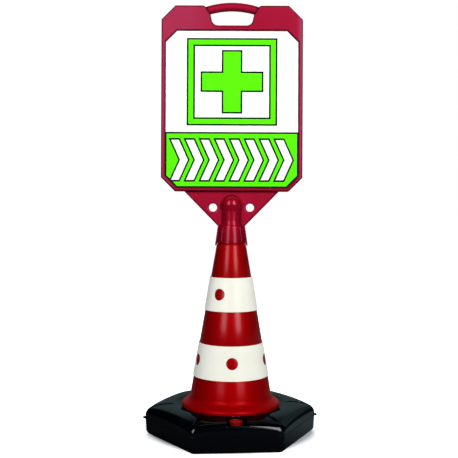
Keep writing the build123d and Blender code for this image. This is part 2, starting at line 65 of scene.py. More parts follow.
# Sizes of the cone and its bands
cone_wall = 0.0035
rim_r, rim_corner_z, rim_round = 0.1285, seat_z + 0.008, 0.009
rim_lip_in, rim_lip_out = 0.0006, 0.0008
knee_r, knee_z, knee_round = 0.1078, seat_z + 0.0225, 0.021
skirt_bottom_z = seat_z + 0.4255
cone_top_r = 0.0384
collar_z, collar_lap, collar_round, collar_tip = skirt_bottom_z - 0.0045, 0.0003, 0.006, 0.0004
cone_slope = (knee_r - cone_top_r) / (skirt_bottom_z - knee_z)
band_h = 0.087
groove_depth, groove_rounds = 0.00175, [0.0004, 0.0002, 0.0002, 0.0004]
band_t, band_proud, band_seam, band_bevel = 0.002, 0.0004, 0.0015, 0.0003
stud_r, stud_gap, stud_proud = 0.0146, 0.0004, 0.0008
stud_edge, stud_dome, stud_root = 0.0009, 0.0004, 0.001
bands = (
    ("lower_band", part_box("lower_band")[0].z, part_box("lower_band")[1].z, 5, math.radians(1.9)),
    ("upper_band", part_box("upper_band")[0].z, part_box("upper_band")[1].z, 3, math.radians(-29.7)),
)

# Sizes of the sign's socket
socket_wall, socket_round, inner_round = 0.0032, 0.0012, 0.0008
plug_inset = 0.0037
skirt_r, skirt_top_r, skirt_end_z = 0.0398, 0.0316, skirt_bottom_z + 0.0016
skirt_lip_z, skirt_lip_out, skirt_lip_in = skirt_bottom_z + 0.01, 0.001, 0.0005
plug_r = skirt_r - plug_inset
ledge_z = skirt_bottom_z + 0.0485
neck_foot_r, neck_foot_z, neck_foot_round = 0.0276, ledge_z + 0.0115, 0.006
neck_r, neck_top_z, neck_top_round = 0.0263, ledge_z + 0.0375, 0.014
knob_r, knob_z, knob_round, dome_end = 0.0297, ledge_z + 0.0525, 0.018, 0.06
rib_w, rib_proud, rib_end = 0.003, 0.0014, 0.003
rib_turns = np.radians([44.0, -44.0, 136.0, -136.0])

# Sizes of the sign's frame, web and handle
board_half, board_t, board_trim = 0.188, 0.028, 0.001
board_bottom_z = board_top_z - 0.4935
board_chamfer, board_round, board_edge = 0.0375, 0.0062, 0.0045
recess_half, recess_chamfer, recess_round = 0.1755, 0.030, 0.001
recess_bottom_z, recess_top_z = board_bottom_z + 0.012, board_top_z - 0.0677
recess_depth, recess_bevel, recess_border = 0.008, 0.0036, 0.0015
hand_floor_half, hand_floor_z, hand_floor_round = 0.0505, board_top_z - 0.0525, 0.016
hand_side_half, hand_side_z, hand_side_round = 0.0565, board_top_z - 0.025, 0.006
hand_mouth_half, hand_mouth_round = 0.072, 0.012
handle_r, handle_rise, handle_half = 0.0114, 0.013, 0.074
web_t, web_edge, web_top_half, web_lap = 0.009, 0.0042, 0.124, 0.0032
web_bottom_half, web_bottom_z = 0.0362, ledge_z - 0.002
fin_bottom_half, fin_gap, fin_edge, fin_corner = 0.0435, 0.0005, 0.0012, 0.0022
fin_step, fin_root = 0.0001, 0.004
tie_hole_r, tie_hole_x, tie_hole_z = 0.0106, 0.049, board_bottom_z - 0.0415

# Shares of painted shade on the sign (socket and skirt lip, fins, web rim, frame recess and rim, handle
# ends), and where they begin
socket_painted_shade, lip_painted_shade, lip_painted_shade_z, lip_painted_shade_run = 0.07, 0.5, skirt_end_z + 0.0025, 0.002
fin_painted_shade, web_join = 0.3, 0.004
# painted shade at the recess's middle, wall foot, wall top, bevel edge and face
recess_painted_shades = [0.0, 0.7, 0.85, 0.1, 0.0]
web_painted_shade_rise, frame_painted_shade_rise = 0.5, 0.4
handle_painted_shade, handle_painted_shade_x, handle_painted_shade_run = 0.8, 0.058, 0.010

# Sizes of the base
apothem, corner_round = 0.1975, 0.020
parting_z = seat_z - 0.0315
lower_draft, upper_draft = math.tan(math.radians(4.5)), math.tan(math.radians(2.0))
foot_round, shoulder_round = 0.014, 0.024
foot_rim, foot_recess, foot_lip, recess_corner = 0.042, 0.005, 0.001, 0.012
crown_z, crown_flat_r, crown_arc_r = seat_z + 0.0035, 0.155, 0.178
dish_r, dish_ramp = 0.1345, 0.014
crown_inner_r, crown_end_r, crown_end_run = dish_r + dish_ramp + 0.0015, 0.165, 0.015
hub_r, hub_cut = 0.0855, 0.0025
crease_mid_r, crease_half, crease_w, crease_depth, crease_shade_widen = 0.1785, 0.0320, 0.0060, 0.0034, 1.6
seam_proud, seam_half = 0.0008, 0.0009
tab_proud, tab_w, tab_t, tab_root, tab_round = 0.006, 0.014, 0.004, 0.004, 0.0012
pocket_r, pocket_z, pocket_front_r = 0.024, seal_low_z, 0.1885
sill_h, sill_run, sill_step = 0.007, 0.0008, 0.0005
pocket_rim, pocket_foot, pocket_draft, pocket_border = 0.0015, 0.002, 0.0006, 0.030
bore_r, bore_bottom_z = 0.012, seal_low_z - 0.014
well_r, well_ring_r, well_inner_r, well_top_z = 0.011, 0.094, 0.055, seat_z - 0.012

# Sizes of the filler cap
base_yaw = math.radians(4.8)
filler_turn = FRONT + base_yaw
filler_r = 0.151
hole_r = filler_r - pocket_r - 0.0035
cap_r, cap_edge, cap_rim, cap_dish, cap_grip, cap_soft = 0.0165, 0.0015, 0.0025, 0.002, 0.004, 0.0006
cap_plug_r, cap_plug_wall = 0.0116, 0.0025
flute_count, flute_r, flute_drop = 18, 0.0014, 0.0003

# Numbers of points along the grids
cone_steps, socket_steps, dome_steps, stud_steps, stud_rings = 256, 192, 25, 72, 6
band_side_steps, band_end_steps, band_rings, band_crowding = 24, 32, 20, 1.3
rib_steps, rib_sides, web_steps, handle_steps, handle_sides = 24, 16, 120, 65, 48
floor_steps, well_side_steps, well_arc_steps, well_rings = 6, 13, 25, 8
cap_rows, flute_steps = 60, 16


def unit(vector):
    """A vector scaled to length one."""
    return vector / np.linalg.norm(vector)


def arc(centre, radius, start, end, count):
    """Points on a circle in its own plane, from one angle to another."""
    angle = np.linspace(start, end, count)
    return np.stack([centre[0] + radius * np.cos(angle), centre[1] + radius * np.sin(angle)], axis=1)


def rounded_path(corners, radii, steps=7):
    """Path through flat corners, each turned into an arc of its own radius.

    An arc touches its two runs at radius / tan(half the corner's angle) from the corner. Its centre lies on
    the bisector at radius / sin(half that angle), and its points are blended between the touching points.
    """
    corners = np.asarray(corners, float)
    path = []
    for i, radius in enumerate(radii):
        here = corners[i]
        if radius == 0:
            path.append(here[None])
            continue
        back = unit(corners[i - 1] - here)
        ahead = unit(corners[(i + 1) % len(corners)] - here)
        half = math.acos(np.dot(back, ahead)) / 2
        centre = here + unit(back + ahead) * radius / math.sin(half)
        first = here + back * radius / math.tan(half) - centre
        last = here + ahead * radius / math.tan(half) - centre
        sweep = math.pi - 2 * half
        share = np.linspace(0, 1, steps)[:, None]
        spoke = np.sin((1 - share) * sweep) * first + np.sin(share * sweep) * last
        path.append(centre + spoke / math.sin(sweep))
    return np.concatenate(path)


def inset_loop(loop, distance):
    """Closed flat loop, counter-clockwise, moved inwards along the bisectors of its edges' inward normals."""
    edge = np.roll(loop, -1, axis=0) - loop
    normal = np.stack([-edge[:, 1], edge[:, 0]], axis=1) / np.linalg.norm(edge, axis=1, keepdims=True)
    before = np.roll(normal, 1, axis=0)
    return loop + distance * (before + normal) / (1 + np.sum(before * normal, axis=1, keepdims=True))


def quarter_edge(radius, count=5):
    """Inset and rise of points on the quarter circle that rounds an edge, from the face round to the side."""
    angle = np.linspace(0, QUARTER, count)
    return radius * (1 - np.sin(angle)), radius * (1 - np.cos(angle))


def swung(out, across, height, turn):
    """Points a distance out from the upright axis and across, turned about that axis, at a height."""
    x = out * np.cos(turn) - across * np.sin(turn)
    y = out * np.sin(turn) + across * np.cos(turn)
    return np.stack(np.broadcast_arrays(x, y, height), axis=-1)


def raised(loop, depth):
    """Flat loop in the plane of the sign, (x, z), at one depth y."""
    return np.stack([loop[:, 0], np.full(len(loop), depth), loop[:, 1]], axis=1)


def turned(profile, steps):
    """Surface of revolution: each (radius, height) of the profile runs round the upright axis."""
    angle = np.linspace(0, TURN, steps, endpoint=False)[:, None]
    return swung(profile[:, 0], 0, profile[:, 1], angle), True, False


def rounded_bars(half_w, half_h, corner):
    """Rounded rectangles, one to a row, with a quarter circle in each corner; the end rows are points."""
    angle = np.concatenate([np.linspace(0, QUARTER, 5) + k * QUARTER for k in range(4)])
    across, up = np.repeat([1, -1, -1, 1], 5), np.repeat([1, 1, -1, -1], 5)
    x = across * (half_w - corner) + corner * np.cos(angle)
    y = up * (half_h - corner) + corner * np.sin(angle)
    x[[0, -1]] = y[[0, -1]] = 0
    return x, y


def grid_faces(rows, cols, wrap_rows, wrap_cols):
    """Corner numbers of the four-sided faces between neighbouring points of a grid, closed where asked."""
    i, j = np.meshgrid(
        np.arange(rows if wrap_rows else rows - 1), np.arange(cols if wrap_cols else cols - 1), indexing="ij"
    )
    i_next, j_next = (i + 1) % rows, (j + 1) % cols
    corners = [i * cols + j, i * cols + j_next, i_next * cols + j_next, i_next * cols + j]
    return np.stack(corners, axis=-1).reshape(-1, 4)


def add_object(name, data):
    """Object at the origin of the scene."""
    made = bpy.data.objects.new(name, data)
    bpy.context.scene.collection.objects.link(made)
    return made


def make_piece(name, node, body, material, grids, edge=None, closed=True):
    """Mesh object from grids of points: welded where they meet, faces outward, smooth but for sharp edges.

    Edge gives each point a share of painted shade: a darker, duller tone put on rounded edges, recesses and
    creases.
    """
    points = np.concatenate([grid.reshape(-1, 3) for grid, _, _ in grids])
    starts = np.cumsum([0] + [grid.shape[0] * grid.shape[1] for grid, _, _ in grids])
    faces = np.concatenate([
        grid_faces(*grid.shape[:2], wrap_rows, wrap_cols) + start
        for (grid, wrap_rows, wrap_cols), start in zip(grids, starts)
    ])
    mesh = bpy.data.meshes.new(name)
    mesh.vertices.add(len(points))
    mesh.vertices.foreach_set("co", points.astype(np.float32).ravel())
    mesh.loops.add(faces.size)
    mesh.loops.foreach_set("vertex_index", faces.astype(np.int32).ravel())
    mesh.polygons.add(len(faces))
    mesh.polygons.foreach_set("loop_start", np.arange(0, faces.size, 4, dtype=np.int32))
    mesh.update(calc_edges=True)
    if edge is not None:
        layer = mesh.attributes.new("edge", "FLOAT", "POINT")
        layer.data.foreach_set("value", np.concatenate([part.ravel() for part in edge]).astype(np.float32))
    work = bmesh.new()
    work.from_mesh(mesh)
    bmesh.ops.remove_doubles(work, verts=work.verts, dist=weld)
    bmesh.ops.dissolve_degenerate(work, edges=work.edges, dist=weld)
    if closed:
        bmesh.ops.recalc_face_normals(work, faces=work.faces)
    work.to_mesh(mesh)
    work.free()
    mesh.polygons.foreach_set("use_smooth", np.ones(len(mesh.polygons), dtype=bool))
    mesh.set_sharp_from_angle(angle=sharp_angle)
    mesh.materials.append(material)
    piece = add_object(name, mesh)
    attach(piece, body)
    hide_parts(node)
    return piece


def even_normals(piece):
    """Shade flat faces flat beside their rounded edges, by weighting normals with face area."""
    modifier = piece.modifiers.new("even_normals", "WEIGHTED_NORMAL")
    modifier.keep_sharp = True


# Materials


class Value:
    """Output of a shader node. Reckoning with it adds nodes to its tree."""

    def __init__(self, tree, socket):
        self.tree, self.socket = tree, socket

    def math(self, operation, other=0.0):
        """One arithmetic step."""
        return add_node(self.tree, "Math", 0, {0: self, 1: other}, operation=operation)

    def __add__(self, other):
        return self.math("ADD", other)

    def __sub__(self, other):
        return self.math("SUBTRACT", other)

    def __mul__(self, other):
        return self.math("MULTIPLY", other)

    def __abs__(self):
        return self.math("ABSOLUTE")

    def __lt__(self, other):
        return self.math("LESS_THAN", other)

    def __gt__(self, other):
        return self.math("GREATER_THAN", other)

    def most(self, other):
        """The larger of two values."""
        return self.math("MAXIMUM", other)

    def spread(self, low, high, to_low, to_high):
        """Mapped from one range to another, held at its ends."""
        inputs = {"Value": self, "From Min": low, "From Max": high, "To Min": to_low, "To Max": to_high}
        return add_node(self.tree, "MapRange", "Result", inputs)

    def blend(self, first, second):
        """Colour between two colours, this value being the share of the second."""
        return add_node(self.tree, "Mix", 2, {0: self, 6: first, 7: second}, data_type="RGBA")

    def noise(self, scale, detail=2.0, roughness=0.5):
        """Noise at this place, of that many features a metre, from 0 to 1."""
        inputs = {"Vector": self, "Scale": scale, "Detail": detail, "Roughness": roughness}
        return add_node(self.tree, "TexNoise", "Fac", inputs)

    def bump(self, strength, distance):
        """Normal of a surface with this height."""
        inputs = {"Height": self, "Strength": strength, "Distance": distance}
        return add_node(self.tree, "Bump", "Normal", inputs)

    def axes(self):
        """The three parts of a vector."""
        parts = add_node(self.tree, "SeparateXYZ", 0, {"Vector": self}).socket.node
        return [Value(self.tree, socket) for socket in parts.outputs]


def feed(tree, node, inputs):
    """Set or link a node's inputs by name or number."""
    for key, value in inputs.items():
        if isinstance(value, Value):
            tree.links.new(value.socket, node.inputs[key])
        else:
            node.inputs[key].default_value = value


def add_node(tree, kind, output, inputs=None, **settings):
    """Add a shader node with its settings and inputs; gives one of its outputs."""
    node = tree.nodes.new("ShaderNode" + kind)
    for key, value in settings.items():
        setattr(node, key, value)
    feed(tree, node, inputs or {})
    return Value(tree, node.outputs[output])


def new_material(name):
    """Node material and the place on its object."""
    material = bpy.data.materials.new(name)
    material.use_nodes = True
    return material, add_node(material.node_tree, "TexCoord", "Object")


def surface(material, inputs):
    """Set or link what a material's principled shader takes."""
    feed(material.node_tree, material.node_tree.nodes["Principled BSDF"], inputs)
    return material


def tone(red, green, blue):
    """Linear colour from screen values of 0 to 255."""
    screen = np.array([red, green, blue]) / 255
    linear = np.where(screen <= 0.04045, screen / 12.92, ((screen + 0.055) / 1.055) ** 2.4)
    return (*linear, 1.0)


def shaded(colour, factor):
    """A colour made lighter or darker."""
    return (*(channel * factor for channel in colour[:3]), 1.0)


# Where the frame has a painted sheen, a paler pinker colour that stands in for light on it: its left half and
# its right rail, above its lower rail
painted_sheen_left, painted_sheen_right = (-0.11, -0.02), (0.172, 0.178)
painted_sheen_z, painted_sheen_run = board_bottom_z + 0.008, 0.015


def moulded_plastic(
    name, colour, roughness, lustre, coat, coat_roughness=0.2, coat_ior=1.5, peel=700.0, peel_depth=0.00008,
    edged=True, painted_sheen=None, gloss_run=None
):
    """Moulded plastic: slow drift of tone, orange-peel skin, duller rubbed patches and faint scuffs.

    The lustre is a broad gloss in the plastic's own colour; the coat is a share of polished skin over it.
    Edged plastic takes painted shade by its piece's edge shares: a darker colour and less coat. A painted
    sheen colour is blended over the frame's left half and right rail. A gloss run gives two heights and the
    share of the polish at each.
    """
    material, place = new_material(name)
    rub = place.noise(26.0, 7.0, 0.65)
    stretched = add_node(place.tree, "Mapping", "Vector", {"Vector": place, "Scale": (160.0, 160.0, 9.0)})
    scuff = stretched.noise(1.0, 5.0, 0.7).spread(0.66, 0.74, 0.0, 1.0)
    worn = scuff * rub.spread(0.5, 0.75, 0.0, 0.22)
    drift = place.noise(7.0, 3.0).spread(0.3, 0.7, 0.0, 1.0)
    speck = place.noise(420.0).spread(0.35, 0.65, 0.0, 0.25)
    body = drift.blend(shaded(colour, 0.93), shaded(colour, 1.05))
    body = speck.blend(body, shaded(colour, 0.86))
    body = worn.blend(body, shaded(colour, 1.35))
    # painted sheen: a paler colour over the left half and the right rail
    if painted_sheen:
        x, _, z = place.axes()
        sheen_share = x.spread(*painted_sheen_left, 1.0, 0.0).most(x.spread(*painted_sheen_right, 0.0, 1.0))
        body = (sheen_share * z.spread(painted_sheen_z, painted_sheen_z + painted_sheen_run, 0.0, 1.0)).blend(body, painted_sheen)
    polish = coat
    # painted shade: the edge share darkens the colour and takes off coat
    if edged:
        edge = add_node(place.tree, "Attribute", "Fac", attribute_name="edge")
        body = edge.blend(body, shaded(colour, 0.22))
        polish = edge.spread(0.0, 1.0, coat, 0.1 * coat)
    if gloss_run:
        polish = place.axes()[2].spread(*gloss_run) * polish
    return surface(material, {
        "Base Color": body,
        "Roughness": rub.spread(0.3, 0.7, roughness - 0.03, roughness + 0.05) + worn * 0.3,
        "Normal": place.noise(peel).bump(0.35, peel_depth),
        "Metallic": lustre,
        "Specular IOR Level": 0.0,
        "Coat Weight": polish,
        "Coat Roughness": coat_roughness,
        "Coat IOR": coat_ior,
    })


def reflective_sheet(name, colour):
    """Warm white reflective band: a skin of fine cells under a clear film, a little soiled in patches."""
    material, place = new_material(name)
    cell_inputs = {"Vector": place, "Scale": 620.0}
    cells = add_node(place.tree, "TexVoronoi", "Distance", cell_inputs, feature="DISTANCE_TO_EDGE")
    soil = place.noise(16.0, 6.0, 0.6)
    film = soil.spread(0.45, 0.8, 0.0, 0.3).blend(colour, shaded(colour, 0.86))
    return surface(material, {
        "Base Color": cells.spread(0.0, 0.12, 0.2, 0.0).blend(film, shaded(colour, 0.9)),
        "Roughness": soil.spread(0.3, 0.7, 0.3, 0.4),
        "Normal": cells.bump(0.12, 0.0001),
        "Diffuse Roughness": 1.0,
        "Specular IOR Level": 0.15,
    })


# Print of the sign: a square ring round a cross over a green field with a row of chevrons
sheet_half, sheet_low_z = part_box("front_panel")[1].x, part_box("front_panel")[0].z
print_line = 0.0045
ring_half_x, ring_w = 0.1198, 0.0218
ring_low_z, ring_high_z = sheet_low_z + 0.1629, sheet_low_z + 0.3945
cross_z, arm_half, cross_half_x, cross_half_z = sheet_low_z + 0.2790, 0.0273, 0.0831, 0.0841
field_top_z, field_line = sheet_low_z + 0.1459, 0.0026
chevron_z, chevron_half_z, chevron_pitch, chevron_w = sheet_low_z + 0.0720, 0.0530, 0.0395, 0.0205
chevron_depth, chevron_count, chevron_line = 0.0240, 8, 0.0048


def printed_sheet(name, white, green, ink):
    """White sheet with its printed sign: flat shapes in the plane of the sign, turned for the back."""
    material, place = new_material(name)
    across, deep, z = place.axes()
    x = across * (deep.math("SIGN") * -1.0)

    def rectangle(centre_z, half_x, half_z):
        return (abs(x) < half_x) * (abs(z - centre_z) < half_z)

    sheet = white
    ring_z, ring_half_z = (ring_low_z + ring_high_z) / 2, (ring_high_z - ring_low_z) / 2
    for inset, colour in ((0, ink), (print_line, green), (ring_w - print_line, ink), (ring_w, white)):
        sheet = rectangle(ring_z, ring_half_x - inset, ring_half_z - inset).blend(sheet, colour)
    for inset, colour in ((0, ink), (print_line, green)):
        upright = rectangle(cross_z, arm_half - inset, cross_half_z - inset)
        level = rectangle(cross_z, cross_half_x - inset, arm_half - inset)
        sheet = upright.most(level).blend(sheet, colour)
    # the field fills the sheet's lower part up to its cut corners, with a line round it
    sheet = (z < field_top_z).blend(sheet, ink)
    field = (z < field_top_z - print_line) * (z > sheet_low_z + field_line)
    cut_limit = sheet_half - sheet_low_z - recess_chamfer - field_line * math.sqrt(2)
    field = field * (abs(x) < sheet_half - field_line) * (abs(x) - z < cut_limit)
    sheet = field.blend(sheet, green)
    # each chevron leans to its tip at mid height; the row repeats along x
    off_middle = abs(z - chevron_z)
    along = x + off_middle * (chevron_depth / chevron_half_z) - chevron_depth / 2
    row_half = chevron_pitch * chevron_count / 2
    step = abs((along + row_half).math("FLOORED_MODULO", chevron_pitch) - chevron_pitch / 2)
    for grow, colour in ((chevron_line, ink), (0, white)):
        stroke = (step < chevron_w / 2 + grow) * (off_middle < chevron_half_z + grow)
        sheet = (stroke * (abs(along) < row_half)).blend(sheet, colour)
    dust = place.noise(60.0, 6.0, 0.65)
    return surface(material, {
        "Base Color": dust.spread(0.55, 0.85, 0.0, 0.06).blend(sheet, tone(150, 145, 135)),
        "Roughness": dust.spread(0.3, 0.7, 0.38, 0.5),
        "Normal": place.noise(1400.0).bump(0.08, 0.0001),
        "Specular IOR Level": 0.06,
    })


def granular(name, dark, pale, grain, roughness, depth, metallic=0.0):
    """Grained finish between two tones, for sand, rubber and plated steel."""
    material, place = new_material(name)
    grains = place.noise(grain, 4.0, 0.6)
    return surface(material, {
        "Base Color": grains.spread(0.3, 0.7, 0.0, 1.0).blend(dark, pale),
        "Roughness": grains.spread(0.3, 0.7, roughness - 0.08, roughness + 0.08),
        "Normal": grains.bump(0.4, depth),
        "Metallic": metallic,
    })


knob_polish = (knob_z - 0.004, knob_z + 0.004, 1.0, 1.7)
dusty_foot = (seat_z + 0.03, seat_z + 0.2, 0.12, 1.0)
crimson_plastic = moulded_plastic(
    "crimson_plastic", tone(157, 17, 45), roughness=0.55, lustre=0.38, coat=0.27
)
socket_crimson = moulded_plastic(
    "socket_crimson", tone(150, 6, 32), roughness=0.5, lustre=0.38, coat=0.28, coat_roughness=0.15,
    gloss_run=knob_polish
)
# the frame's crimson, with a painted sheen on its left half and right rail
crimson_with_painted_sheen = moulded_plastic(
    "crimson_with_painted_sheen", tone(152, 19, 47), roughness=0.55, lustre=0.4, coat=0.2, painted_sheen=tone(155, 43, 70)
)
red_plastic = moulded_plastic(
    "red_plastic", tone(155, 1, 4), roughness=0.5, lustre=0.38, coat=0.3, peel=800.0, edged=False,
    gloss_run=dusty_foot
)
cap_plastic = moulded_plastic(
    "cap_plastic", tone(142, 10, 6), roughness=0.5, lustre=0.4, coat=0.18, peel=900.0, peel_depth=0.0001,
    edged=False
)
black_plastic = moulded_plastic(
    "black_plastic", tone(1, 2, 4), roughness=0.3, lustre=0.0, coat=0.11, coat_roughness=0.12, coat_ior=3.0,
    peel=500.0, peel_depth=0.00006
)
white_band = reflective_sheet("white_band", tone(240, 240, 225))
sign_sheet = printed_sheet("sign_sheet", white=tone(250, 250, 250), green=tone(88, 250, 0), ink=tone(2, 6, 0))
seal_rubber = granular(
    "seal_rubber", tone(16, 16, 17), tone(34, 34, 35), grain=900.0, roughness=0.7, depth=0.0001
)
sand = granular("sand", tone(150, 126, 92), tone(214, 192, 152), grain=1500.0, roughness=0.85, depth=0.0004)
zinc_steel = granular(
    "zinc_steel", tone(168, 170, 172), tone(206, 207, 206), grain=300.0, roughness=0.34, depth=0.00005,
    metallic=1.0
)


# Cone


def cone_r(z):
    """Outer radius of the cone's straight side at a height."""
    return cone_top_r + cone_slope * (skirt_bottom_z - z)


def skirt_at(z):
    """Outer radius of the socket's skirt at a height."""
    return skirt_r + (skirt_top_r - skirt_r) * (z - skirt_bottom_z) / (ledge_z - skirt_bottom_z)


def socket_path(inset, rounding):
    """Half section of dome, neck, ledge and skirt from the axis down, moved in by inset and rounded."""
    dome = arc((0, knob_z), knob_r - inset, QUARTER, dome_end, dome_steps)
    corners = [
        (knob_r - inset, knob_z),
        (neck_r - inset, neck_top_z),
        (neck_r - inset, neck_foot_z),
        (neck_foot_r - inset, ledge_z - inset),
        (skirt_top_r - inset, ledge_z - inset),
        (skirt_r - inset, skirt_bottom_z),
    ]
    rounds = [0, knob_round, neck_top_round, neck_foot_round, rounding, rounding, 0]
    return np.concatenate([dome[:-1], rounded_path([dome[-1], *corners], rounds)[1:]])


def cone_profile():
    """Closed half section of the cone: its inside, round the foot, up the grooved side and over the plug."""
    inner = socket_path(plug_inset + cone_wall, inner_round)[:-1]
    foot = rounded_path(
        [
            inner[-1],
            (plug_r - cone_wall, skirt_bottom_z),
            (cone_top_r - cone_wall, skirt_bottom_z),
            (knee_r - cone_wall, knee_z - cone_wall),
            (rim_r - cone_wall, rim_corner_z - cone_wall),
            (rim_r - cone_wall, seat_z),
            (rim_r, seat_z),
            (rim_r, rim_corner_z),
            (knee_r, knee_z),
            (cone_r(bands[0][1]), bands[0][1]),
        ],
        [
            0, 0, 0, knee_round + cone_wall, rim_round - cone_wall,
            rim_lip_in, rim_lip_out, rim_round, knee_round, 0,
        ],
        steps=16,
    )
    side = []
    for _, low_z, _, _, _ in bands:
        high_z = low_z + band_h
        side += [
            (cone_r(low_z), low_z),
            (cone_r(low_z) - groove_depth, low_z),
            (cone_r(high_z) - groove_depth, high_z),
            (cone_r(high_z), high_z),
        ]
    side += [(cone_r(collar_z), collar_z), (plug_r + collar_lap, skirt_bottom_z), (plug_r, skirt_bottom_z)]
    rounds = [0, *groove_rounds * len(bands), collar_round, collar_tip, 0]
    upper = rounded_path([foot[-2], *side], rounds, steps=4)[1:]
    return np.concatenate([inner, foot[1:-1], upper[:-1], socket_path(plug_inset, inner_round)[::-1]])


def wrapped_stud(low_z, turn):
    """Round stud on the cone's side: rings of a disc, wrapped on the cone and rounded over at the edge.

    A ring point lies across and up from the stud's centre; its distance from the axis follows the cone there.
    """
    inset, drop = quarter_edge(stud_edge, 6)
    inner_r = np.linspace(0, stud_r - stud_edge, stud_rings, endpoint=False)
    ring_r = np.concatenate([inner_r, stud_r - inset, [stud_r]])
    lift = np.concatenate([np.zeros(stud_rings), -drop, [-stud_proud - band_t - stud_root]])
    dome = stud_dome * (1 - (ring_r / stud_r) ** 2)
    angle = np.linspace(0, TURN, stud_steps, endpoint=False)[:, None]
    across, up = ring_r * np.cos(angle), ring_r * np.sin(angle)
    middle = low_z + band_h / 2
    reach = cone_r(middle + up) + band_proud + stud_proud + lift + dome
    top = swung(np.sqrt(reach**2 - across**2), across, middle + up, turn)
    back = np.broadcast_to(top[:, -1:].mean(axis=0), (len(angle), 1, 3))
    return np.concatenate([top, back], axis=1), True, False


stud_grids = [
    wrapped_stud(low_z, FRONT + turn + i * TURN / count)
    for _, low_z, _, count, turn in bands
    for i in range(count)
]
cone_grids = [turned(cone_profile(), cone_steps), *stud_grids]
make_piece("traffic_cone", "cone", "base", red_plastic, cone_grids)


# Bands


def band_patch(low_z, high_z, turn, start, end):
    """Share of a band round one stud: from the stud's hole out to an upright strip of the cone.

    The strip lies between two angles. The border's points run along its four sides, and the hole's points lie
    at the same bearings. Between the two they are blended in angle and height, closer together near the hole,
    and each lies on the cone's side, raised by the band.
    """
    steps = (band_side_steps, band_end_steps) * 2
    border_turn, border_z = (
        np.concatenate([np.linspace(*run, endpoint=False) for run in zip(corners, corners[1:], steps)])
        for corners in ((end, end, start, start, end), (low_z, high_z, high_z, low_z, low_z))
    )
    middle = low_z + band_h / 2
    bearing = np.arctan2((border_z - middle), (border_turn - turn) * cone_r(middle))
    hole = stud_r + stud_gap
    hole_z = middle + hole * np.sin(bearing)
    hole_turn = turn + np.arcsin(hole * np.cos(bearing) / (cone_r(hole_z) + band_proud))
    share = np.linspace(0, 1, band_rings)[:, None] ** band_crowding
    height = hole_z + (border_z - hole_z) * share
    angle = hole_turn + (border_turn - hole_turn) * share
    return swung(cone_r(height) + band_proud, 0, height, angle), False, True


def wrap_band(name, low_z, high_z, count, turn):
    """White band as a strip wrapped round the cone with a butt seam at the back and a hole for each stud."""
    seam = QUARTER
    half_gap = band_seam / 2 / cone_r((low_z + high_z) / 2)
    centres = np.sort((FRONT + turn + np.arange(count) * TURN / count - seam) % TURN) + seam
    bounds = (centres[1:] + centres[:-1]) / 2
    starts = np.concatenate([[seam + half_gap], bounds])
    ends = np.concatenate([bounds, [seam + TURN - half_gap]])
    patches = [band_patch(low_z, high_z, *place) for place in zip(centres, starts, ends)]
    band = make_piece(name + "_sheet", name, "base", white_band, patches, closed=False)
    wall = band.modifiers.new("thickness", "SOLIDIFY")
    wall.thickness = band_t
    wall.offset = -1.0
    edge = band.modifiers.new("edge", "BEVEL")
    edge.width = band_bevel
    edge.segments = 2
    edge.limit_method = "ANGLE"
    edge.angle_limit = math.radians(50)
    even_normals(band)


for band_place in bands:
    wrap_band(*band_place)


# Socket, web and fins of the sign
socket_profile = np.concatenate([
    socket_path(0.0, socket_round)[:-1],
    rounded_path(
        [
            (skirt_at(skirt_lip_z), skirt_lip_z),
            (skirt_at(skirt_end_z), skirt_end_z),
            (skirt_at(skirt_end_z) - socket_wall, skirt_end_z),
            (skirt_at(skirt_lip_z) - socket_wall, skirt_lip_z),
        ],
        [0, skirt_lip_out, skirt_lip_in, 0],
    )[1:-1],
    socket_path(socket_wall, inner_round)[-2::-1],
])


def skirt_rib(turn):
    """Low rib up the skirt: an ellipse across it, carried along the skirt's slope and closed at both ends."""
    step = np.arange(rib_steps)[:, None]
    height = np.linspace(skirt_bottom_z + rib_end, ledge_z - rib_end, rib_steps)[:, None]
    ends = np.sqrt(np.clip(np.minimum(step, step[::-1]) / 2.0, 0, 1))
    angle = np.linspace(0, TURN, rib_sides, endpoint=False)
    across = rib_w / 2 * np.cos(angle) * ends
    return swung(skirt_at(height) + rib_proud * np.sin(angle) * ends, across, height, turn), False, True


def lip_shade(points):
    """Share of painted shade on the socket: a little all over, more towards the skirt's lip, where shade
    falls under it.
    """
    return socket_painted_shade + lip_painted_shade * np.clip((lip_painted_shade_z - points[..., 2]) / lip_painted_shade_run, 0, 1)


socket_grids = [turned(socket_profile, socket_steps), *(skirt_rib(FRONT + turn) for turn in rib_turns)]
socket_edges = [lip_shade(grid) for grid, _, _ in socket_grids]
make_piece("sign_socket", "sign_board", "sign", socket_crimson, socket_grids, socket_edges)


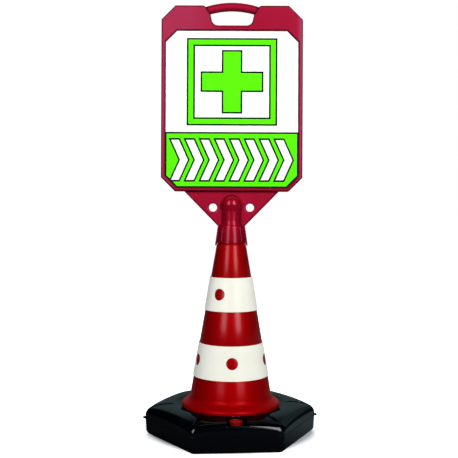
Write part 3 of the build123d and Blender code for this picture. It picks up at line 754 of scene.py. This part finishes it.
def web_wing(side):
    """Half of the web round its tie hole, as a closed ring: front, outer edge, back and the hole's wall.

    From the hole's centre each bearing meets the nearest of the wing's straight edges. The edges are rounded
    by moving the outline in while the depth falls, and the edge on the sign's middle stays put so that both
    halves join there.
    """
    top_z = board_bottom_z + web_lap
    corners = np.array([
        (0.0, web_bottom_z),
        (web_bottom_half, web_bottom_z),
        (web_top_half + web_lap, top_z),
        (0.0, top_z),
    ])
    centre = np.array([tie_hole_x, tie_hole_z])
    run = np.roll(corners, -1, axis=0) - corners
    normal = np.stack([run[:, 1], -run[:, 0]], axis=1) / np.linalg.norm(run, axis=1, keepdims=True)
    distance = np.sum((corners - centre) * normal, axis=1)
    moves = np.array([1.0, 1.0, 1.0, 0.0])
    to_corners = np.arctan2(*(corners - centre).T[::-1])
    bearing = np.sort(np.concatenate([np.linspace(-math.pi, math.pi, web_steps, endpoint=False), to_corners]))
    ray = np.stack([np.cos(bearing), np.sin(bearing)], axis=1)
    toward = np.maximum(ray @ normal.T, 1e-9)

    def outline(inset):
        return np.min((distance - inset * moves) / toward, axis=1)

    half_t = web_t / 2
    edge_steps = list(zip(*quarter_edge(web_edge)))
    reach = [(outline(inset), rise - half_t) for inset, rise in edge_steps]
    reach += [(r, -y) for r, y in reversed(reach)]
    bore = [(tie_hole_r + inset + 0 * bearing, half_t - rise) for inset, rise in edge_steps]
    bore += [(r, -y) for r, y in reversed(bore)]
    points = np.array([raised((centre + r[:, None] * ray) * (side, 1), y) for r, y in reach + bore])
    # painted shade along the wing's rounded rim, none where the two halves join
    rim_shade = np.sin(np.linspace(0, QUARTER, len(edge_steps))) ** web_painted_shade_rise
    shade = np.concatenate([rim_shade, rim_shade[::-1], np.zeros(len(bore))])
    return (points, True, True), shade[:, None] * np.clip(np.abs(points[..., 0]) / web_join - 0.5, 0, 1)


def open_middle(piece):
    """Take out the faces inside the web where its halves join, after cutting those partly there."""
    work = bmesh.new()
    work.from_mesh(piece.data)
    touching = [face for face in work.faces if sum(abs(corner.co.x) < weld for corner in face.verts) > 2]
    bmesh.ops.triangulate(work, faces=touching)
    inside = [face for face in work.faces if max(abs(corner.co.x) for corner in face.verts) < weld]
    bmesh.ops.delete(work, geom=inside, context="FACES")
    bmesh.ops.recalc_face_normals(work, faces=work.faces)
    work.to_mesh(piece.data)
    work.free()


def fin(side):
    """Fin beside the socket: rounded rectangles stacked from its foot up to the ledge.

    Each reaches from the cone or the skirt's wall to the fin's outer edge.
    """
    inset, rise = quarter_edge(fin_edge)
    height = np.concatenate([
        [fin_bottom_z], fin_bottom_z + rise, [skirt_bottom_z, skirt_end_z - fin_step, skirt_end_z + fin_step],
        np.linspace(skirt_end_z + fin_root, ledge_z, 8), [ledge_z],
    ])[:, None]
    inset = np.concatenate([[0], inset, np.zeros(len(height) - len(inset) - 1)])[:, None]
    collar = np.interp(height, [collar_z, skirt_bottom_z], [cone_r(collar_z), plug_r + collar_lap])
    inner = np.where(height < skirt_end_z, collar + fin_gap, skirt_at(height) - socket_wall / 2)
    share = (height - fin_bottom_z) / (web_bottom_z - fin_bottom_z)
    outer = fin_bottom_half + (web_bottom_half - fin_bottom_half) * share
    half_w, half_t = (outer - inner) / 2 - inset, web_t / 2 - inset
    x, y = rounded_bars(half_w, half_t, np.minimum(fin_corner, 0.9 * np.minimum(half_w, half_t)))
    x = side * ((outer + inner) / 2 + x)
    return np.stack(np.broadcast_arrays(x, y, height), axis=-1), False, True


wings, wing_edges = zip(web_wing(1), web_wing(-1))
sign_web = make_piece("sign_web", "sign_board", "sign", crimson_plastic, wings, wing_edges)
open_middle(sign_web)
even_normals(sign_web)
fins = [fin(1), fin(-1)]
# painted shade: the fins are darkened all over
fin_edges = [np.full(grid.shape[:2], fin_painted_shade) for grid, _, _ in fins]
sign_fins = make_piece("sign_fins", "sign_board", "sign", crimson_plastic, fins, fin_edges)
even_normals(sign_fins)


# Frame of the sign and its handle


def eight_corners(half, low_z, high_z, cut):
    """Corners of an upright rectangle with cut corners, counter-clockwise from the lower right."""
    return [
        (half - cut, low_z), (half, low_z + cut), (half, high_z - cut), (half - cut, high_z),
        (cut - half, high_z), (-half, high_z - cut), (-half, low_z + cut), (cut - half, low_z),
    ]


def frame_grid():
    """The frame as rings from the front recess over the front face and the outer edge to the back.

    The outer ring has the notch of the hand opening in its top side; the recess rings have a point straight
    below each point of the notch, so the faces between them stay flat. The outer edge is a quarter circle on
    each side.
    """
    outer = eight_corners(board_half, board_bottom_z, board_top_z, board_chamfer)
    notch = [
        (hand_mouth_half, board_top_z), (hand_side_half, hand_side_z), (hand_floor_half, hand_floor_z),
        (-hand_floor_half, hand_floor_z), (-hand_side_half, hand_side_z), (-hand_mouth_half, board_top_z),
    ]
    notch_rounds = [hand_mouth_round, hand_side_round, hand_floor_round]
    rounds = [board_round] * 4 + notch_rounds + notch_rounds[::-1] + [board_round] * 4
    outline = inset_loop(rounded_path(outer[:4] + notch + outer[4:], rounds), board_trim)
    inner = eight_corners(recess_half, recess_bottom_z, recess_top_z, recess_chamfer)
    octagon = rounded_path(inner, [recess_round] * 8)
    half = len(octagon) // 2
    over = outline[half:-half]
    below = np.stack([over[:, 0], np.full(len(over), recess_top_z)], axis=1)
    recess = np.concatenate([octagon[:half], below, octagon[half:]])
    core_half, half_t = board_t / 2 - recess_depth, board_t / 2
    middle = np.zeros_like(recess) + (0.0, (recess_bottom_z + recess_top_z) / 2)
    rows = [(middle, -core_half), (recess, -core_half), (recess, recess_bevel - half_t)]
    rows += [(inset_loop(recess, -recess_bevel - out), -half_t) for out in (0, recess_border)]
    edge_steps = list(zip(*quarter_edge(board_edge, 7)))
    rows += [(inset_loop(outline, inset), rise - half_t) for inset, rise in edge_steps]
    rows += [(loop, -y) for loop, y in reversed(rows)]
    # painted shade in the recess's wall and along the outer rounded edge
    rim_shade = np.sin(np.linspace(0, QUARTER, len(edge_steps))) ** frame_painted_shade_rise
    shade = np.concatenate([recess_painted_shades, rim_shade])
    edge = np.concatenate([shade, shade[::-1]])[:, None] + 0 * outline[:, 0]
    return (np.array([raised(loop, y) for loop, y in rows]), False, True), edge


def handle_grid():
    """The handle: circles carried along a shallow arc, closed at both ends inside the frame."""
    bend_r = (handle_half**2 + handle_rise**2) / (2 * handle_rise)
    reach = math.asin(handle_half / bend_r)
    along = np.linspace(-reach, reach, handle_steps)[:, None]
    radius = np.full_like(along, handle_r)
    radius[[0, -1]] = 0
    angle = np.linspace(0, TURN, handle_sides, endpoint=False)
    out = bend_r + radius * np.cos(angle)
    x = out * np.sin(along)
    z = handle_top_z - handle_r - bend_r + out * np.cos(along)
    # painted shade where the handle's ends go into the frame
    shade = handle_painted_shade * np.clip((np.abs(x) - handle_painted_shade_x) / handle_painted_shade_run, 0, 1)
    return (np.stack([x, radius * np.sin(angle), z], axis=-1), False, True), shade


frame_rings, frame_edge = frame_grid()
sign_frame = make_piece(
    "sign_frame", "sign_board", "sign", crimson_with_painted_sheen, [frame_rings], [frame_edge]
)
even_normals(sign_frame)
handle_rings, handle_edge = handle_grid()
make_piece(
    "handle_bar", "carrying_handle", "sign", crimson_plastic, [handle_rings], [handle_edge]
)


# Base


def hexagon_r(turn, flat, rounding):
    """Distance from the axis to a six-sided outline with rounded corners, at bearings counted from a corner.

    On a side it is the apothem over the cosine of the bearing from the side's middle. Round a corner it is
    where the bearing meets the corner's circle. The second value is the cosine between the bearing and the
    outline's normal.
    """
    from_corner = np.abs((turn + SIXTH / 2) % SIXTH - SIXTH / 2)
    from_side = SIXTH / 2 - from_corner
    centre_r = (flat - rounding) / math.cos(SIXTH / 2)
    along = centre_r * np.cos(from_corner)
    on_arc = along + np.sqrt(np.maximum(rounding**2 - (centre_r * np.sin(from_corner)) ** 2, 0))
    rounded = from_side > np.arctan((flat - rounding) * math.tan(SIXTH / 2) / flat)
    r = np.where(rounded, on_arc, flat / np.cos(from_side))
    return r, np.where(rounded, (on_arc - along) / rounding, np.cos(from_side))


def crown(r):
    """Height of the base's top at a radius: seat, ramp, flat ring, then an arc that falls to the shoulder."""
    drop = (crown_z - seat_z) * np.clip((dish_r + dish_ramp - r) / dish_ramp, 0, 1)
    return crown_z - drop - crown_arc_r + np.sqrt(crown_arc_r**2 - np.maximum(r - crown_flat_r, 0) ** 2)


def crown_slope(r):
    """Angle at which the crown's arc falls at a radius."""
    return np.arcsin(np.maximum(r - crown_flat_r, 0) / crown_arc_r)


def upper_side(turn, z):
    """Outline of the side above the parting line, drawn in by its draft."""
    draw = (z - parting_z) * upper_draft
    return hexagon_r(turn, apothem - draw, corner_round - draw)


def shoulder_ends(turn):
    """The shoulder's start on the crown, unrounded corner and end on the side, its weight and first slope.

    Its reach along each run is the radius times the tangent of half the turning; across a side seen at a
    slant the reach along the crown grows by the slant.
    """
    # the edge where crown and side would meet settles in four rounds
    edge_z = crown_z
    for _ in range(4):
        edge_r, slant = upper_side(turn, edge_z)
        edge_z = crown(edge_r)
    turning = QUARTER - math.atan(upper_draft) - crown_slope(edge_r)
    reach = shoulder_round * np.tan(turning / 2)
    start_r = edge_r - reach / slant
    start_slope = crown_slope(start_r)
    corner_z = crown(start_r) - np.tan(start_slope) * (edge_r - start_r)
    corner, end = ((upper_side(turn, z)[0], z) for z in (corner_z, corner_z - reach))
    return (start_r, crown(start_r)), corner, end, np.cos(turning / 2), start_slope


def conic(start, corner, end, weight, u):
    """Point of a rounded corner: a quadratic curve whose weight makes it a circle or an ellipse."""
    parts = ((1 - u) ** 2, 2 * u * (1 - u) * weight, u**2)
    places = (start, corner, end)
    total = sum(parts)
    return tuple(sum(part * place[axis] for part, place in zip(parts, places)) / total for axis in (0, 1))


def crease_lens(turn, r):
    """Shape of the lens along each corner's ridge: 1 in its middle, falling as an ellipse to 0 at its rim."""
    from_corner = (turn + SIXTH / 2) % SIXTH - SIXTH / 2
    across = (r * np.sin(from_corner) / crease_w) ** 2
    along = ((r * np.cos(from_corner) - crease_mid_r) / crease_half) ** 2
    return np.sqrt(np.maximum(1 - across - along, 0))


def creased(turn, r, z, lean):
    """The crease on each corner's ridge, sunk along the surface's normal."""
    depth = crease_depth * crease_lens(turn, r)
    return r - depth * np.sin(lean), z - depth * np.cos(lean)


def crease_shade_share(points):
    """Share of painted shade at each point of the base: the creases on its upper side are darkened, wider
    than the grooves.
    """
    x, y, z = np.moveaxis(points, -1, 0)
    lens = crease_lens(np.arctan2(y, x) - base_yaw, np.hypot(x, y))
    return np.where(z > parting_z, np.minimum(crease_shade_widen * lens, 1), 0)


def ring_row(r, z):
    """Circle round the axis."""
    return lambda turn: (r + 0 * turn, z + 0 * turn)


def crown_row(share):
    """Row of the crown, part of the way from the ramp's top to the shoulder."""
    def row(turn):
        start_r = shoulder_ends(turn)[0][0]
        r = crown_inner_r + (start_r - crown_inner_r) * share
        return creased(turn, r, crown(r), crown_slope(r))
    return row


def shoulder_row(u):
    """Row of the rounded shoulder."""
    def row(turn):
        *bend, slope = shoulder_ends(turn)
        return creased(turn, *conic(*bend, u), slope + (QUARTER - slope) * u)
    return row


def side_row(share):
    """Row of the upper side, part of the way from the shoulder to the seam."""
    def row(turn):
        end_z = shoulder_ends(turn)[2][1]
        z = end_z + (parting_z + 2 * seam_half - end_z) * share
        return upper_side(turn, z)[0], z
    return row


def outline_row(flat, rounding, z):
    """Level row round the six-sided outline."""
    return lambda turn: (hexagon_r(turn, flat, rounding)[0], z + 0 * turn)


def lower_row(z, proud=0.0):
    """Level row of the lower side, drawn in towards the foot."""
    draw = abs(parting_z - z) * lower_draft - proud
    return outline_row(apothem - draw, corner_round - draw, z)


foot_turning = QUARTER - math.atan(lower_draft)
foot_reach = foot_round * math.tan(foot_turning / 2)


def foot_row(u):
    """Row of the rounded foot between the lower side and the rim that stands on the ground."""
    def row(turn):
        draw = parting_z * lower_draft
        edge_r, slant = hexagon_r(turn, apothem - draw, corner_round - draw)
        start = (edge_r + foot_reach * lower_draft / slant, foot_reach)
        end = (edge_r - foot_reach / slant, 0.0 * turn)
        return conic(start, (edge_r, 0.0), end, math.cos(foot_turning / 2), u)
    return row


# Angles along the pocket's rounded edges
quarter_steps = np.radians([30.0, 60.0, 90.0])

# Distances of a row's points from a corner's ridge and from the middle of a side
corner_steps = np.concatenate([np.linspace(0, crease_w, 8), [0.0062, 0.0080, 0.0105, 0.0135, 0.0175, 0.022]])
pocket_mouth = pocket_r + pocket_draft + pocket_rim
pocket_steps = np.concatenate([
    np.linspace(0, pocket_r - pocket_foot, floor_steps),
    pocket_r - pocket_foot + pocket_foot * np.sin(quarter_steps),
    [pocket_r + pocket_draft],
    pocket_mouth - pocket_rim * np.cos(quarter_steps),
    [(pocket_mouth + pocket_border) / 2, pocket_border],
])


def bearings(flat, corner):
    """Bearings of a row's points from the first corner: dense across the creases and the filler pocket."""
    near_corner = np.arcsin(corner_steps / max(corner, crown_inner_r))
    near_middle = SIXTH / 2 - np.arctan(pocket_steps / max(flat, hole_r))[::-1]
    between = np.linspace(near_corner[-1], near_middle[0], 9)[1:-1]
    half = np.concatenate([near_corner, between, near_middle])
    sector = np.concatenate([half, SIXTH - half[-2:0:-1]])
    return np.concatenate([sector + k * SIXTH for k in range(6)])


def row_points(row):
    """Points of a row, with bearings set by how far it lies out at a corner and at a side's middle."""
    corner, flat = row(np.array([0.0, SIXTH / 2]))[0]
    turn = bearings(flat, corner)
    r, z = row(turn)
    return swung(r, 0, z, turn + base_yaw)


def shoulder_share(axis, value):
    """Share of the shoulder at which the middle of a side reaches a radius (axis 0) or a height (axis 1)."""
    shares = np.linspace(0, 1, 400)
    *bend, _ = shoulder_ends(np.array([SIXTH / 2]))
    track = conic(*bend, shares)[axis]
    return float(np.interp(value, track, shares) if axis == 0 else np.interp(-value, -track, shares))


def pocket_half(border, last_row):
    """Half of the filler pocket: lines from its spine or the bore over floor, wall and rim to the border.

    Behind the filler's middle the lines spread like rays from it; in front of it they run straight across.
    The floor steps up to the sill at the pocket's front wall. Depth is measured down from the crown above
    each point.
    """
    wall = floor_steps + len(quarter_steps)
    on_foot, on_rim = slice(floor_steps, wall), slice(wall + 1, wall + 1 + len(quarter_steps))
    out = np.array([math.cos(filler_turn), math.sin(filler_turn), 0.0])
    aside = np.array([-out[1], out[0], 0.0])
    centre = filler_r * out
    x, s = (border - centre) @ out, (border - centre) @ aside
    spine = np.maximum(x, 0)
    reach = np.hypot(x - spine, s)[:, None]
    start = np.where(x < bore_r, np.sqrt(np.maximum(bore_r**2 - spine**2, 0)), 0)[:, None]
    floor = start + (pocket_r - pocket_foot - start) * np.linspace(0, 1, floor_steps)
    middle = np.broadcast_to(pocket_steps[floor_steps:-2], (len(x), len(pocket_steps) - floor_steps - 2))
    outer = middle[:, -1:] + (reach - middle[:, -1:]) * np.array([0.5, 1.0])
    distance = np.concatenate([floor, middle, outer], axis=1)
    along = spine[:, None] + (x - spine)[:, None] / reach * distance
    across = s[:, None] / reach * distance
    radius = np.hypot(filler_r + along, across)
    border_r = np.hypot(filler_r + x, s)[:, None]
    on_crown = 1 - np.clip((border_r - crown_end_r) / crown_end_run, 0, 1)
    above = border[:, 2:] + on_crown * (crown(radius) - crown(border_r))
    step = np.clip((filler_r + x - pocket_front_r) / sill_run + 0.5, 0, 1)[:, None]
    base_z = pocket_z + sill_h * step
    fit = np.clip((above - base_z) / (pocket_rim + pocket_foot), 0, 1)
    height = above.copy()
    height[:, :floor_steps] = base_z
    height[:, on_foot] = base_z + fit[:, on_foot] * pocket_foot * (1 - np.cos(quarter_steps))
    height[:, wall] -= fit[:, wall] * pocket_rim
    height[:, on_rim] -= fit[:, on_rim] * pocket_rim * (1 - np.sin(quarter_steps))
    points = centre + along[..., None] * out + across[..., None] * aside
    points[..., 2] = height
    points[-1] = last_row
    in_bore = np.flatnonzero(x < bore_r)[-1] + 2
    lip = points[:in_bore, 0]
    below = lip * (1, 1, 0) + (0, 0, bore_bottom_z)
    bore_end = np.broadcast_to(centre + (0, 0, bore_bottom_z), lip.shape)
    return (points, False, False), (np.stack([lip, below, bore_end]), False, False)


def well_sector(outer, k):
    """Sixth of the hollow under the base: its floor round one screw well, the well's wall and its end."""
    turn = base_yaw + k * SIXTH
    centre = well_ring_r * np.array([math.cos(turn), math.sin(turn)])
    down = np.linspace(1, 0, well_side_steps)[1:-1, None]
    inner = arc((0, 0), well_inner_r, turn + SIXTH / 2, turn - SIXTH / 2, well_arc_steps)
    side_in = inner[0] + (outer[-1] - inner[0]) * down
    side_out = inner[-1] + (outer[0] - inner[-1]) * down[::-1]
    border = np.concatenate([outer, side_in, inner, side_out])
    ray = border - centre
    rim = centre + well_r * ray / np.linalg.norm(ray, axis=1, keepdims=True)
    flat = rim + (border - rim) * np.linspace(1, 0, well_rings)[:, None, None]
    floor = np.concatenate([flat, np.full((*flat.shape[:2], 1), foot_recess)], axis=2)
    top = np.column_stack([rim, np.full(len(rim), well_top_z)])
    end = np.broadcast_to([*centre, well_top_z], top.shape)
    ring = np.column_stack([inner, np.full(len(inner), foot_recess)])
    disc = np.stack([ring, np.broadcast_to([0, 0, foot_recess], ring.shape)])
    return (np.concatenate([floor, [top, end]]), False, True), (disc, False, False)


def side_tab(turn):
    """Small tab on the parting line: rounded rectangles drawn out from a corner, shut at both ends."""
    inset, draw = quarter_edge(tab_round)
    out = np.concatenate([[-tab_root, -tab_root], tab_proud - inset, [tab_proud]])[:, None]
    draw = np.concatenate([[0, 0], draw, [0]])[:, None]
    y, z = rounded_bars(tab_w / 2 - draw, tab_t / 2 - 0.6 * draw, tab_round)
    ridge_r = hexagon_r(np.array([0.0]), apothem, corner_round)[0]
    return swung(ridge_r + out, y, parting_z + z, turn), False, True


def base_grids():
    """The whole shell: rows from the hub over crown, shoulder, sides and foot to the hollow below.

    The filler pocket takes the place of some front rows, and the hollow's floor goes round six screw wells.
    """
    front_share = shoulder_share(0, pocket_front_r)
    sill_share = shoulder_share(1, pocket_z + sill_h)
    step_shares = [shoulder_share(0, pocket_front_r + offset) for offset in (-sill_step, sill_step)]
    to_front, to_sill = np.linspace(0, front_share, 7)[1:-1], np.linspace(front_share, sill_share, 5)[1:]
    hub = [(0, hub_top_z), (hub_r - hub_cut, hub_top_z), (hub_r, hub_top_z - hub_cut), (hub_r, seat_z)]
    rows = [ring_row(r, z) for r, z in (*hub, (hole_r, seat_z))]
    back = len(rows) - 1
    ramp_shares = np.array([0.03, 0.5, 0.97, 1.0])
    ramp = np.concatenate([np.linspace(hole_r, dish_r, 5)[1:], dish_r + dish_ramp * ramp_shares])
    rows += [ring_row(r, crown(r)) for r in ramp] + [ring_row(crown_inner_r, crown_z)]
    rows += [crown_row(share) for share in np.linspace(0, 1, 15)[1:]]
    rows += [shoulder_row(u) for u in np.sort(np.concatenate([to_front, step_shares, to_sill]))]
    sill = len(rows) - 1
    rows += [shoulder_row(u) for u in np.linspace(sill_share, 1, 8)[1:]]
    rows += [side_row(share) for share in (0.35, 0.7, 1.0)]
    seam = ((1, 0), (0.7, 0.8), (0, 1), (-0.7, 0.8), (-1, 0), (-2, 0))
    rows += [lower_row(parting_z + up * seam_half, out * seam_proud) for up, out in seam]
    rows += [lower_row(foot_reach + (parting_z - foot_reach) * share) for share in (0.66, 0.33)]
    rows += [foot_row(u) for u in np.linspace(0, 1, 10)]
    hollow = ((foot_lip, 0.0), (0.0, foot_lip), (0.0, foot_recess - foot_lip), (-foot_lip, foot_recess))
    rows += [outline_row(apothem - foot_rim + out, recess_corner + out, z) for out, z in hollow]
    shell = np.array([row_points(row) for row in rows])
    count = shell.shape[1]
    sector = count // 6
    middle = 4 * sector + sector // 2
    edge = len(pocket_steps) - 1
    left, right = middle - edge, middle + edge
    open_part = np.roll(shell[back:sill + 1], -right, axis=1)[:, :count - 2 * edge + 1]
    grids = [(shell[:back + 1], False, True), (open_part, False, False), (shell[sill:], False, True)]
    for side, edge_column in ((1, right), (-1, left)):
        across = slice(middle, edge_column + side, side)
        column = shell[back + 1:sill + 1, edge_column]
        grids += pocket_half(np.concatenate([shell[back, across], column]), shell[sill, across])
    for k in range(6):
        spot = (np.arange(-(sector // 2), sector // 2 + 1) + k * sector) % count
        grids += well_sector(shell[-1, spot, :2], k)
    return grids + [side_tab(base_yaw), side_tab(base_yaw + math.pi)]


base_parts = base_grids()
crease_shades = [crease_shade_share(grid) for grid, _, _ in base_parts]
make_piece("ballast_base", "base_shell", "base", black_plastic, base_parts, crease_shades)


# Filler cap


def soft_step(distance):
    """From 0 to 1 across an edge, level at both ends."""
    share = np.clip(distance / cap_soft + 0.5, 0, 1)
    return share * share * (3 - 2 * share)


def cap_grid():
    """Screw cap as a turned profile: the side is cut by round flutes, the top is dished beside a grip bar.

    At the side the radius is the smaller of the cap's and where a bearing meets the nearest flute's circle.
    On the top the height falls by the dish's depth where the point is inside the rim and off the bar.
    """
    inset, drop = quarter_edge(cap_edge)
    plug_in_r = cap_plug_r - cap_plug_wall
    side_r = [cap_r, cap_r, cap_plug_r, cap_plug_r, plug_in_r, plug_in_r, 0]
    side_z = [cap_top_z - cap_edge - flute_drop, cap_z, cap_z, cap_plug_z, cap_plug_z, cap_z, cap_z]
    radius = np.concatenate([np.linspace(0, cap_r - cap_edge, cap_rows), cap_r - inset[1:], side_r])
    height = np.concatenate([np.full(cap_rows, cap_top_z), cap_top_z - drop[1:], side_z])
    row = np.arange(len(radius))
    fluted = (row >= len(radius) - len(side_r)) & (row < len(radius) - len(side_r) + 2)
    angle = np.linspace(0, TURN, flute_count * flute_steps, endpoint=False)[:, None]
    from_flute = (angle + math.pi / flute_count) % (TURN / flute_count) - math.pi / flute_count
    flute_out = cap_r + flute_r / 2
    room = flute_r**2 - (flute_out * np.sin(from_flute)) ** 2
    cut = np.where(room > 0, flute_out * np.cos(from_flute) - np.sqrt(np.maximum(room, 0)), cap_r)
    radius = np.where(fluted, np.minimum(radius, cut), radius)
    x, y = radius * np.cos(angle), radius * np.sin(angle)
    dished = soft_step(cap_r - cap_rim - radius) * soft_step(np.abs(x) - cap_grip / 2)
    z = height - np.where(row < cap_rows, cap_dish * dished, 0)
    return swung(filler_r + x, y, z, filler_turn), True, False


make_piece("screw_cap", "filler_cap", "cap", cap_plastic, [cap_grid()])


# Nodes that keep their solids, with a finish of their own
for node_name, finish in (
    ("front_panel", sign_sheet),
    ("back_panel", sign_sheet),
    ("cap_seal", seal_rubber),
    ("sand_ballast", sand),
    ("cone_screws", zinc_steel),
    ("screw_washers", zinc_steel),
):
    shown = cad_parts[node_name]
    shown.data.materials.clear()
    shown.data.materials.append(finish)


# Floor, background, lights and camera
floor_reach = 40.0
# the floor's lift drops within these distances of a point by the base, painting a shadow round it
shadow_back, shadow_start, shadow_end = 0.05, 0.218, 0.262
cool_tone, full_white = (0.65, 0.93, 1.0, 1.0), (1.0, 1.0, 1.0, 1.0)
lamp_aim, lamp_distance, lamp_tone = np.array([0.0, 0.0, 0.55]), 2.6, (0.98, 0.98, 1.05)
lamp_turn, lamp_lift = math.radians(29.5), math.radians(22)


def rays(tree, *kinds):
    """Values that are 1 for rays of each kind."""
    return [add_node(tree, "LightPath", "Is " + kind + " Ray") for kind in kinds]


def studio_floor():
    """Pale floor as a flat grid; it takes the shadow and is lifted to white where it is seen, less near the
    base, which paints shadow there over the real one; to gloss it glows as a painted reflection.
    """
    reach = np.linspace(-floor_reach, floor_reach, 3)
    x, y = np.meshgrid(reach, reach)
    points = np.stack([x, y, 0 * x], axis=-1).reshape(-1, 3)
    mesh = bpy.data.meshes.new("studio_floor")
    mesh.from_pydata(points.tolist(), [], grid_faces(3, 3, False, False).tolist())
    material, place = new_material("floor_paper")
    seen, in_gloss = rays(place.tree, "Camera", "Glossy")
    paper = place.noise(300.0, 3.0).blend(tone(222, 227, 226), tone(228, 233, 232))
    ends = {0: place, 1: (0.0, shadow_back, 0.0)}
    from_base = add_node(place.tree, "VectorMath", "Value", ends, operation="DISTANCE")
    # painted shadow: the lift is small near the base, so the floor there stays darker
    lift = from_base.spread(shadow_start, shadow_end, 0.05, 1.0)
    # painted reflection: to gloss the floor glows cool and pale behind and to the right, dark in front and to
    # the left
    x, y, _ = place.axes()
    toward = (x * 0.6 + y * 0.8).spread(-0.05, 0.2, 0.0, 1.0)
    pale = in_gloss * from_base.spread(0.5, 1.0, 0.85, 0.2) * toward
    mesh.materials.append(surface(material, {
        "Base Color": seen.blend(tone(80, 81, 82), paper),
        "Roughness": 0.9,
        "Specular IOR Level": 0.0,
        "Emission Color": seen.blend(cool_tone, full_white),
        "Emission Strength": (seen * lift).most(pale),
    }))
    floor = add_object("studio_floor", mesh)


def studio_world(ambient, front_gloss, back_gloss, right_gloss, cool):
    """White background where it is seen, a dim even light for the rest, and the room that gloss shows.

    That room is dark in front and rises to a cool paler tone behind and high on the right.
    """
    world = bpy.data.worlds.new("studio")
    world.use_nodes = True
    tree = world.node_tree
    seen, in_gloss, through = rays(tree, "Camera", "Glossy", "Transmission")
    x, y, z = add_node(tree, "TexCoord", "Generated").axes()
    beside = x.spread(0.08, 0.28, 0.0, right_gloss) * y.spread(0.4, 0.55, 0.0, 1.0)
    room = y.spread(0.76, 0.97, front_gloss, back_gloss).most(beside * z.spread(0.08, 0.3, 0.0, 1.0))
    by_gloss = in_gloss.most(through)
    level = by_gloss * (room - ambient) + ambient
    colour = by_gloss.blend(full_white, cool)
    feed(tree, tree.nodes["Background"], {"Strength": level.most(seen), "Color": colour})
    bpy.context.scene.world = world


def soft_box(name, bearing, elevation, width, height, power, in_gloss=True):
    """Rectangular lamp at a bearing from the camera's side and an elevation, aimed at the object's middle."""
    lamp = bpy.data.lights.new(name, "AREA")
    lamp.shape = "RECTANGLE"
    lamp.size, lamp.size_y = width, height
    lamp.energy = power
    lamp.color = lamp_tone
    holder = add_object(name, lamp)
    holder.visible_glossy = in_gloss
    level = math.cos(elevation)
    out = np.array([math.sin(bearing) * level, -math.cos(bearing) * level, math.sin(elevation)])
    holder.location = lamp_aim + lamp_distance * out
    holder.rotation_euler = (QUARTER - elevation, 0.0, bearing)


studio_floor()
studio_world(ambient=0.04, front_gloss=0.003, back_gloss=0.95, right_gloss=0.5, cool=cool_tone)
for name, side, power in (("left_box", -1, 41.0), ("right_box", 1, 57.0)):
    soft_box(name, side * lamp_turn, lamp_lift, width=0.9, height=2.0, power=power)
soft_box("top_panel", 0.0, math.radians(80), width=1.6, height=1.6, power=4.0, in_gloss=False)
soft_box("back_box", math.pi, math.radians(28), width=1.6, height=1.4, power=70.0, in_gloss=False)

# The photograph's frame is square; lens and shift follow from its focal length and horizon in pixels
image_px, focal_px, horizon_drop_px = 458, 808, 24
camera_place, camera_roll = (-0.0066, -2.145, 0.603), math.radians(-0.25)
camera_data = bpy.data.cameras.new("photo_camera")
camera_data.sensor_width = 36.0
camera_data.lens = camera_data.sensor_width * focal_px / image_px
camera_data.shift_y = -horizon_drop_px / image_px
camera = add_object("photo_camera", camera_data)
camera.location = camera_place
camera.rotation_euler = (QUARTER, camera_roll, 0.0)
bpy.context.scene.camera = camera
bpy.context.scene.view_settings.view_transform = "Standard"
